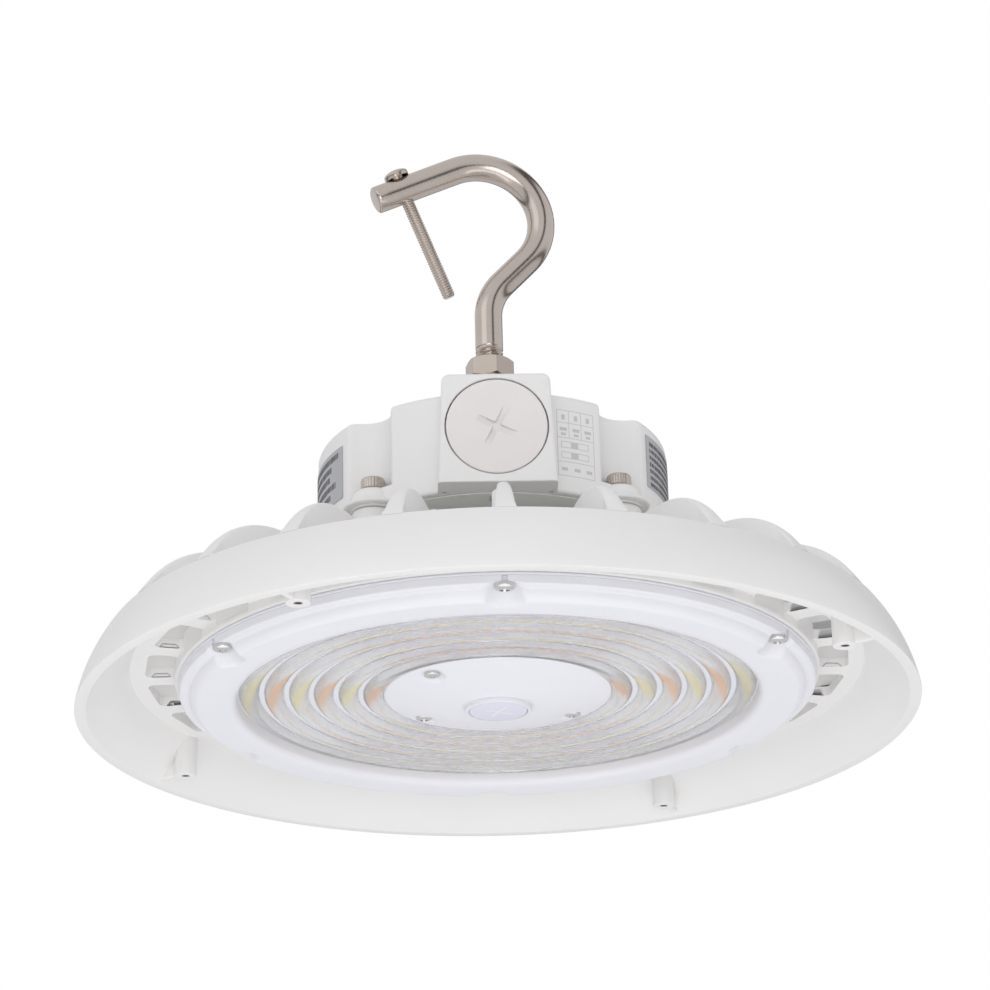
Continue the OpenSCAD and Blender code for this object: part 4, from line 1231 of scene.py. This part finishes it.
@dataclass
class DriverHousing:
    """Cast housing of the driver: round body, side channels, ears, box and hook boss."""

    radius: float = 63.8
    low_z: float = 61.8
    top_z: float = 99.2
    foot_round: float = 1.2
    top_round: float = 2.6
    boss: Triple = (19.0, 13.0, 126.8)
    boss_fillet: float = 4.0
    boss_round: float = 0.8
    boss_hole: Point = (5.25, 104.8)
    ear_r: float = 7.6
    ear_z: Point = (61.5, 69.4)
    ear_round: float = 3.2
    foot: Triple = (10.6, 62.1, 63.5)
    channel: Point = (67.425, 10.825)
    channel_blend: float = 5.0
    channel_slope: float = 3.2
    plate_r: float = 60.8
    plate_z: float = 64.0
    notch_r: float = 8.1
    bolt_hole_r: float = 2.8
    cavity: Triple = (52.4, 64.0, 96.2)
    box_w: Point = (41.4, 38.0)
    box_back_y: float = -42.0
    box_top_z: float = 102.9
    box_round: float = 2.9
    box_edge: float = 1.3
    room: Triple = (32.0, -63.0, 68.0)
    cap_seat: Point = (18.1, 3.2)
    cap_bore: Point = (15.5, 9.6)
    pin_hole_r: float = 0.85
    pin_holes: tuple[Point, ...] = ((-18.5, -60.0), (18.5, -60.0))

    def plan_r(self, inset: float, turn: float) -> float:
        """Radius of the housing's plan, with its soft channels.

        Args:
            inset: How far the plan is drawn in all round.
            turn: Angle in turns, from +X.

        Returns:
            The radius in mm.
        """
        azimuth = turn * 360 + 90
        off = min(abs((azimuth - a + 180) % 360 - 180) for a in BOLTS)
        middle, radius = self.channel
        limit = math.degrees(math.asin(radius / middle)) * 0.93
        here = math.radians(min(off, limit))
        wall = middle * math.cos(here) - math.sqrt(radius ** 2 - (middle * math.sin(here)) ** 2)
        wall += max(off - limit, 0) * self.channel_slope
        blend = max(self.channel_blend - abs(wall - self.radius), 0) / self.channel_blend
        return min(wall, self.radius) - blend * blend * self.channel_blend / 4 - inset

    def shell(self) -> Mesh:
        """Round body with soft channels, on a full round foot, and the hook boss on top.

        Returns:
            A closed mesh in metres.
        """
        (foot, head, high), ear_top = self.boss, self.ear_z[1]
        soft, fillet, boss_soft = self.foot_round, self.boss_fillet, self.boss_round
        lower = spun([(0.0, self.low_z),
                      *arc((self.radius - soft, self.low_z + soft), soft, -90, 0, 5),
                      *arc((self.radius - 1.0, ear_top - 1.3), 1.0, 0, 90, 4),
                      (0.0, ear_top - 0.3)], 360, closed=False)
        levels = [(self.low_z + 2, 0.0), (ear_top, 0.0)]
        levels += [(self.top_z - self.top_round + self.top_round * math.sin(a),
                    self.top_round * (1 - math.cos(a))) for a in quarter(8)]
        upper = lofted([ring_section(Matrix.Translation((0, 0, z)), 720,
                                     partial(self.plan_r, inset)) for z, inset in levels])
        flare = [(foot + fillet - fillet * math.sin(a),
                  self.top_z - 0.01 + fillet * (1 - math.cos(a))) for a in quarter(6)]
        boss = spun([(0.0, self.top_z - 2), (foot + fillet, self.top_z - 2), *flare,
                     *arc((head - boss_soft, high - boss_soft), boss_soft, 10, 90, 4), (0.0, high)],
                    144, closed=False)
        return fused([upper, lower, boss])

    def ear(self) -> Mesh:
        """Ear of a bolt, round on top and flaring to a thin foot.

        Returns:
            A closed mesh in metres, on the Z axis.
        """
        (low, high), soft = self.ear_z, self.ear_round
        wide, foot_low, foot_high = self.foot
        rim = (foot_high - foot_low) / 2
        flare = [(self.ear_r + (wide - rim - self.ear_r) * (1 - t) ** 1.8,
                  foot_high + (high - soft - foot_high) * t)
                 for t in (i / 10 for i in range(1, 11))]
        outline = [(0.0, low), (self.ear_r, low), (self.ear_r + 0.4, foot_low),
                   *arc((wide - rim, foot_low + rim), rim, -90, 90, 6), *flare,
                   *arc((self.ear_r - soft, high - soft), soft, 0, 90, 8)[1:], (0.0, high)]
        return spun(outline, 72, closed=False)

    def box_section(self, inset: float, y: float, drop: float = 0.0) -> list[Vector]:
        """One upright section of the selector box.

        Args:
            inset: How far it is drawn in from the full size.
            y: Where it lies, in mm.
            drop: How far its top is lowered.

        Returns:
            Its points in mm.
        """
        foot, top = self.box_w[0] / 2 - inset, self.box_w[1] / 2
        corner, low = max(self.box_round - inset, 0.5), self.low_z + inset * 0.2
        level = self.box_top_z - drop - inset - corner
        return [Vector((x, y, z)) for x, z in (
            [(-foot, low), (foot, low)] + arc((top - inset - corner, level), corner, 0, 90, 8)
            + arc((inset + corner - top, level), corner, 90, 180, 8))]

    def box(self) -> Mesh:
        """Selector box with soft front edges.

        Returns:
            A closed mesh in metres.
        """
        back, edge = self.box_back_y, self.box_edge
        rows = [self.box_section(edge * (1 - math.sin(a)), BOX_FRONT_Y + edge * (1 - math.cos(a)))
                for a in quarter(5)]
        return lofted(rows + [self.box_section(0, back - 6), self.box_section(0, back - 4.2),
                              self.box_section(0, back, 4.2)])

    def build(self) -> None:
        """Joins, cuts and places the housing."""
        ears = [at(a, BOLT_CIRCLE_R) for a in BOLTS]
        wide, low, high = self.cavity
        room_w, room_y, room_z = self.room
        notches = repeated(cylinder(self.notch_r, 50, 80, 48), ears)
        plate = cut(cylinder(self.plate_r, self.ear_z[0] - 1, self.plate_z, 192), notches)
        body = fused([self.shell(), self.box(), *[repeated(self.ear(), [place]) for place in ears]])
        for tool in (plate, cylinder(wide, low - 0.01, high, 160),
                     block((room_w, 30, high - room_z), (0, room_y + 15, (high + room_z) / 2)),
                     repeated(cylinder(self.bolt_hole_r, 50, 80, 32), ears),
                     *[repeated(cylinder(radius, -1, depth, 128), [facing_front()])
                       for radius, depth in (self.cap_seat, self.cap_bore)],
                     cylinder(*self.boss_hole, 140, 64),
                     repeated(cylinder(self.pin_hole_r, self.low_z - 1, self.low_z + 3, 24),
                              [Matrix.Translation((mm(x), mm(y), 0)) for x, y in self.pin_holes])):
            body = cut(body, tool)
        put("driver_casting", body, POWDER_COAT, "driver_housing")


@dataclass
class SelectorCap:
    """Round cap with a cross slot in the front of the box."""

    radius: float = 17.65
    rim_round: float = 0.5
    thick: float = 2.6
    boss: Point = (15.2, 8.6)
    turn_deg: float = 26.5
    slot: Triple = (15.7, 2.2, 1.2)

    def build(self) -> None:
        """Makes the cap; the slot's arms run out upward at their ends."""
        (boss_r, boss_z), soft = self.boss, self.rim_round
        outline = [(0.0, 0.0), *arc((self.radius - soft, soft), soft, -90, 0, 5),
                   (self.radius, self.thick), (boss_r, self.thick), (boss_r, boss_z), (0.0, boss_z)]
        long, wide, deep = self.slot
        half = [(long / 2, -0.2), (long / 2 - 0.4, 0.06), (long * 0.3, deep * 0.7), (wide, deep)]
        arms = []
        for turn in (self.turn_deg, self.turn_deg + 90):
            arm = bar([(-x, z) for x, z in half] + half[::-1], wide)
            bmesh.ops.rotate(arm, verts=arm.verts, cent=(0, 0, 0),
                             matrix=Matrix.Rotation(math.radians(turn), 3, "Z"))
            arms.append(arm)
        bm = cut(spun(outline, 160, closed=False), fused(arms))
        put("selector_cap_disc", repeated(bm, [facing_front()]), CAP_WHITE,
            "selector_cap")


@dataclass
class HousingBolts:
    """Knurled socket-head bolts on the ears."""

    seat_z: float = 69.4
    head_r: float = 4.35
    head_h: float = 5.0
    socket_r: float = 2.31
    shank: Point = (2.5, 20.0)
    ribs: int = 22
    rib_h: float = 0.17

    def head_section_r(self, inset: float, knurl: float, turn: float) -> float:
        """Radius of the head.

        Args:
            inset: How far the section is drawn in.
            knurl: How much of the ribs shows, from 0 to 1.
            turn: Angle in turns.

        Returns:
            The radius in mm.
        """
        wave = abs(math.sin(math.pi * self.ribs * turn))
        return self.head_r - inset - self.rib_h * knurl * (1 - wave)

    def head(self) -> Mesh:
        """Head with upright ribs, a plain foot ring, round rims and a hexagon socket.

        Returns:
            A closed mesh in metres.
        """
        levels = [(0.0, 0.75, 0.0), (0.35, 0.7, 0.0), (0.6, 0.2, 0.0), (0.9, 0.0, 0.0),
                  (1.1, 0.0, 1.0), (3.9, 0.0, 1.0), (4.2, 0.05, 0.6), (4.6, 0.3, 0.0),
                  (4.85, 0.6, 0.0), (self.head_h, 1.0, 0.0)]
        body = lofted([ring_section(Matrix.Translation((0, 0, z)), self.ribs * 8,
                                    partial(self.head_section_r, inset, knurl))
                       for z, inset, knurl in levels])
        hexagon = arc((0, 0), self.socket_r, 0, 300, 5)
        return cut(body, prism(hexagon, self.head_h / 2, self.head_h + 1))

    def build(self) -> None:
        """Places the four bolts, each turned differently."""
        radius, length = self.shank
        one = gathered((self.head(), cylinder(radius, -length, 0.3, 40)))
        places = [at(azimuth, BOLT_CIRCLE_R, self.seat_z) @ Matrix.Rotation(number, 4, "Z")
                  for number, azimuth in enumerate(BOLTS)]
        put("socket_bolts", repeated(one, places), SOCKET_STEEL, "driver_bolts")


@dataclass
class HangingHook:
    """Bent rod with a threaded shank, and the safety screw across its mouth."""

    rod_r: float = 5.2
    yaw_deg: float = 8.0
    foot_z: float = 105.8
    shank_top_z: float = 157.6
    thread_top_z: float = 144.6
    thread: Point = (1.5, 0.7)
    neck: Point = (20.7, 42.7)
    neck_l: float = 14.0
    bow: Point = (23.2, 157.9)
    tail_l: float = 33.6
    end_round: float = 1.1
    screw_in: float = 11.6
    screw_lean_deg: float = 11.6
    thread_steps: int = 194
    round_steps: int = 56

    def bend(self, radius: float, angle: float) -> Matrix:
        """Turn about a point beside the rod; a negative radius bends it to the other side."""
        there, back = (Matrix.Translation((x, 0, 0)) for x in (radius, -radius))
        return there @ Matrix.Rotation(math.radians(angle), 4, "Y") @ back

    def path(self) -> list[Matrix]:
        """Places along the rod's middle line, from its foot to its end.

        Returns:
            The places in mm, with +Z along the rod.
        """
        threaded = self.thread_top_z + 1 - self.foot_z
        rest = self.shank_top_z - self.thread_top_z - 1
        steps = [Matrix.Translation((0, 0, threaded / self.thread_steps))] * self.thread_steps
        steps += [Matrix.Translation((0, 0, rest / 6))] * 6
        steps += [self.bend(self.neck[0], self.neck[1] / 14)] * 14
        steps += [Matrix.Translation((0, 0, self.neck_l / 4))] * 4
        steps += [self.bend(-self.bow[0], -self.bow[1] / 48)] * 48
        steps += [Matrix.Translation((0, 0, (self.tail_l - self.end_round) / 8))] * 8
        yaw = Matrix.Rotation(math.radians(self.yaw_deg), 4, "Z")
        places = [yaw @ Matrix.Translation((0, 0, self.foot_z))]
        for step in steps:
            places.append(places[-1] @ step)
        return places

    def threaded_r(self, z: float, turn: float) -> float:
        """Radius of the rod at a height and an angle in turns, with its thread."""
        pitch, depth = self.thread
        fade = min(max((self.thread_top_z - z) / pitch, 0), 1)
        return self.rod_r - depth * fade * (1 - thread_crest(z, pitch, turn))

    def rod(self) -> Mesh:
        """The rod, threaded at its foot and round at its end.

        Returns:
            A closed mesh in metres.
        """
        places = self.path()
        straight = self.thread_steps + 6
        heights = [place.translation.z if number < straight else self.shank_top_z
                   for number, place in enumerate(places)]
        sections = [ring_section(place, self.round_steps, partial(self.threaded_r, z))
                    for place, z in zip(places, heights)]
        for lean in quarter(5)[1:]:
            place = places[-1] @ Matrix.Translation((0, 0, self.end_round * math.sin(lean)))
            radius = self.rod_r - self.end_round * (1 - math.cos(lean))
            sections.append(ring_section(place, self.round_steps, lambda turn, r=radius: r))
        return lofted(sections)

    def build(self) -> None:
        """Makes the rod and the safety screw."""
        put("hook_rod", self.rod(), SATIN_NICKEL, "hook")
        end = self.path()[-1] @ Matrix.Translation((0, 0, self.end_round - self.screw_in))
        lean = Matrix.Rotation(math.radians(-self.screw_lean_deg), 4, "Z")
        across = Matrix.Rotation(-math.pi / 2, 4, "Y")
        place = end @ lean @ across @ Matrix.Translation((0, 0, -self.rod_r))
        metres = Matrix.Translation(place.translation * 0.001) @ place.to_3x3().to_4x4()
        screw = Screw(9.4, 3.2, 5.0, 50.0, pitch=1.0, thread_h=0.34)
        put("hook_safety_screw", repeated(screw.whole(), [metres]), SATIN_NICKEL,
            "safety_screw")


@dataclass
class Print:
    """Printing on the housing: rows on the labels and a plain table beside the box."""

    label_r: float = 64.16
    body_r: float = 63.79
    ink_t: float = 0.03
    left_rows: tuple[Point, ...] = ((-60.5, 88.7), (-65.5, 85.2), (-67.0, 81.8), (-62.5, 78.2),
                                    (-66.5, 74.7))
    left_end: float = -106.0
    left_h: float = 2.3
    right_rows: int = 7
    right_az: Point = (60.0, 106.0)
    right_z: Point = (91.4, 2.6)
    right_h: float = 1.6
    row_margin: float = 1.5
    stroke: Point = (0.45, 1.3)
    stroke_fill: Point = (0.75, 1.0)
    stroke_gap: Point = (0.2, 0.45)
    table_az: Point = (19.4, 32.4)
    table_z: Point = (68.1, 92.9)
    line_w: float = 0.25

    def row(self, bm: Mesh, dice: random.Random, azimuths: Point, middle: float,
            height: float) -> None:
        """One row of short strokes that stands for a line of print.

        Args:
            bm: The mesh that the strokes are added to.
            dice: Seeded source of their lengths.
            azimuths: Where the row starts and ends, in degrees.
            middle: Height of its middle.
            height: Height of its tallest strokes.
        """
        here, end = azimuths
        way = 1 if end > here else -1
        while (end - here) * way > self.row_margin:
            stroke = dice.uniform(*self.stroke)
            part = dice.uniform(*self.stroke_fill)
            plate = curved_plate(self.label_r, self.ink_t, (here, here + way * stroke),
                                 (middle - height * part / 2, middle + height / 2))
            add_copies(bm, plate, [Matrix.Identity(4)])
            here += way * (stroke + dice.uniform(*self.stroke_gap))

    def table(self) -> Mesh:
        """Grid of thin lines with plain marks in its cells.

        Returns:
            The lines and marks in one mesh, in metres.
        """
        (left, right), (low, high) = self.table_az, self.table_z
        width, height = right - left, high - low
        line, line_z = self.line_w / width * 0.9, self.line_w / height
        grid_z = (0.0, 0.214, 0.58, 0.81, 1.0)
        # Each plate as parts of the table's width and height: from, to, from, to.
        plates = [(0, 1 + line, z, z + line_z) for z in grid_z]
        plates += [(x, x + line, 0, 1) for x in (0.0, 1.0)]
        plates += [(x, x + line, grid_z[2], 1) for x in (0.315, 0.646)]
        for x in (0.13, 0.47, 0.8):
            plates += [(x, x + 0.09, 0.86, 0.94), (x - 0.05, x + 0.14, 0.69, 0.74),
                       (x - 0.02, x + 0.11, 0.62, 0.66), (x - 0.03, x + 0.13, 0.08, 0.13)]
        for z in (0.27, 0.43):
            plates += [(0.1, 0.84, edge, edge + line_z) for edge in (z, z + 0.09)]
            plates += [(edge, edge + line, z, z + 0.09 + line_z) for edge in (0.1, 0.84)]
            plates += [(0.36, 0.56, z, z + 0.09)]
        return gathered(curved_plate(self.body_r, self.ink_t, (left + width * a, left + width * b),
                                     (low + height * c, low + height * d)) for a, b, c, d in plates)

    def build(self) -> None:
        """Makes all the printing."""
        dice = random.Random(7)
        left, right = bmesh.new(), bmesh.new()
        for start, middle in self.left_rows:
            self.row(left, dice, (start, self.left_end), middle, self.left_h)
        top, pitch = self.right_z
        for i in range(self.right_rows):
            self.row(right, dice, self.right_az, top - pitch * i, self.right_h)
        put("label_print_left", left, INK_GREY)
        put("label_print_right", right, INK_GREY)
        put("rating_table", self.table(), INK_PALE)


@dataclass
class Studio:
    """Camera, floor, world and lamps."""

    azimuth: float = -1.647
    elevation: float = -22.378
    roll: float = -1.446
    distance: float = 1140.02
    aim: Triple = (-0.1, -30.2, 73.2)
    lens: float = 116.33
    sensor: float = 36.0
    floor_z: float = -620.0
    floor_r: float = 6000.0
    room_power: float = 0.8
    dark_power: float = 0.5

    def camera(self) -> None:
        """Sets the camera at its angle, below the rim and a little to the left."""
        data = bpy.data.cameras.new("camera")
        data.lens = self.lens
        data.sensor_width = self.sensor
        data.clip_start = 0.01
        az, el = math.radians(self.azimuth), math.radians(self.elevation)
        back = Vector((math.sin(az) * math.cos(el), -math.cos(az) * math.cos(el), math.sin(el)))
        level = back.to_track_quat("Z", "Y").to_matrix()
        turn = level @ Matrix.Rotation(math.radians(self.roll), 3, "Z")
        item = bpy.data.objects.new("camera", data)
        stand = Vector(self.aim) * 0.001 + back * mm(self.distance)
        item.matrix_world = Matrix.Translation(stand) @ turn.to_4x4()
        bpy.context.collection.objects.link(item)
        bpy.context.scene.camera = item

    def floor(self) -> None:
        """Lays a plain pale floor far below the hanging light, white to the camera."""
        mesh = bpy.data.meshes.new("floor")
        bm = bmesh.new()
        bmesh.ops.create_circle(bm, cap_ends=True, radius=mm(self.floor_r), segments=96)
        bmesh.ops.translate(bm, verts=bm.verts, vec=(0, 0, mm(self.floor_z)))
        bm.to_mesh(mesh)
        bm.free()
        item = bpy.data.objects.new("floor", mesh)
        bpy.context.collection.objects.link(item)
        paint = bpy.data.materials.new("floor_paint")
        paint.use_nodes = True
        tree = paint.node_tree
        shader = tree.nodes["Principled BSDF"]
        shader.inputs["Base Color"].default_value = linear("#f4f4f4")
        shader.inputs["Roughness"].default_value = 0.9
        path = add_node(tree, "ShaderNodeLightPath")
        white = add_node(tree, "ShaderNodeEmission", {"Color": WHITE, "Strength": 1.0})
        mixed = add_node(tree, "ShaderNodeMixShader", None,
                         {0: path.outputs["Is Camera Ray"], 1: shader.outputs[0],
                          2: white.outputs[0]})
        tree.links.new(mixed.outputs[0], tree.nodes["Material Output"].inputs["Surface"])
        mesh.materials.append(paint)

    def world(self) -> None:
        """Fills the room with soft light, shows it white to the camera and banded to metal."""
        world = bpy.data.worlds.new("studio")
        world.use_nodes = True
        tree = world.node_tree
        tree.nodes.clear()
        path = add_node(tree, "ShaderNodeLightPath")
        room, white, dark = (
            add_node(tree, "ShaderNodeBackground", {"Color": colour, "Strength": strength})
            for colour, strength in ((linear("#fbfbff"), self.room_power), (WHITE, 1.0),
                                     (linear("#6a6462"), self.dark_power)))
        place = add_node(tree, "ShaderNodeTexCoord")
        split = add_node(tree, "ShaderNodeSeparateXYZ", None, {0: place.outputs["Generated"]})
        low_band = self.band(tree, split.outputs["Z"], -0.08, 0.1)
        side_band = self.band(tree, split.outputs["X"], 0.5, 0.1)
        bands = add_node(tree, "ShaderNodeMath", {"operation": "MAXIMUM"},
                         {0: low_band, 1: side_band})
        glossy = add_node(tree, "ShaderNodeMath", {"operation": "MULTIPLY"},
                          {0: bands.outputs[0], 1: path.outputs["Is Glossy Ray"]})
        lit = add_node(tree, "ShaderNodeMixShader", None,
                       {0: glossy.outputs[0], 1: room.outputs[0], 2: dark.outputs[0]})
        seen = add_node(tree, "ShaderNodeMath", {"operation": "MAXIMUM"},
                        {0: path.outputs["Is Camera Ray"], 1: path.outputs["Is Transmission Ray"]})
        mixed = add_node(tree, "ShaderNodeMixShader", None,
                         {0: seen.outputs[0], 1: lit.outputs[0], 2: white.outputs[0]})
        add_node(tree, "ShaderNodeOutputWorld", None, {"Surface": mixed.outputs[0]})
        bpy.context.scene.world = world

    def band(self, tree: bpy.types.NodeTree, value: bpy.types.NodeSocket, middle: float,
             half: float) -> bpy.types.NodeSocket:
        """Soft band in which a value gives 1, for a dark stripe in reflections.

        Args:
            tree: The world's node tree.
            value: A component of the direction.
            middle: Where the band lies.
            half: Half its width.

        Returns:
            A factor from 0 to 1.
        """
        off = add_node(tree, "ShaderNodeMath", {"operation": "SUBTRACT", 1: middle}, {0: value})
        away = add_node(tree, "ShaderNodeMath", {"operation": "ABSOLUTE"}, {0: off.outputs[0]})
        level = add_node(tree, "ShaderNodeMapRange",
                         {"interpolation_type": "SMOOTHSTEP", "From Min": half * 1.4,
                          "From Max": half * 0.6}, {"Value": away.outputs[0]})
        return level.outputs["Result"]

    def lamp(self, name: str, place: Triple, size: float, power: float) -> None:
        """Adds a soft square lamp that faces the middle of the light.

        Args:
            name: The lamp's name.
            place: Where it stands, in mm.
            size: Side of the square, in mm.
            power: Power in watts.
        """
        data = bpy.data.lights.new(name, "AREA")
        data.size = mm(size)
        data.energy = power
        item = bpy.data.objects.new(name, data)
        stand = Vector(place) * 0.001
        turn = stand.to_track_quat("Z", "Y").to_matrix().to_4x4()
        item.matrix_world = Matrix.Translation(stand) @ turn
        bpy.context.collection.objects.link(item)

    def build(self) -> None:
        """Sets up the whole studio."""
        self.camera()
        self.floor()
        self.world()
        self.lamp("key", (-1300, -1500, 900), 1400, 2.2)
        self.lamp("front", (-100, -1650, -380), 1000, 5.6)
        self.lamp("under", (0, -150, -560), 1100, 2.3)
        bpy.context.scene.view_settings.view_transform = "Standard"


def main() -> None:
    """Builds the studio and dresses the light, piece by piece."""
    logging.basicConfig(level=logging.INFO, format="%(name)s: %(message)s")
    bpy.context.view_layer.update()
    Studio().build()
    dress_nodes(NODE_FINISHES)
    for assembly in (Heatsink, LightRings, LensRing, CentreCover, SmallScrews, SmallMouldings,
                     DriverHousing, SelectorCap, HousingBolts, HangingHook, Print):
        assembly().build()


if __name__ == "__main__":
    main()
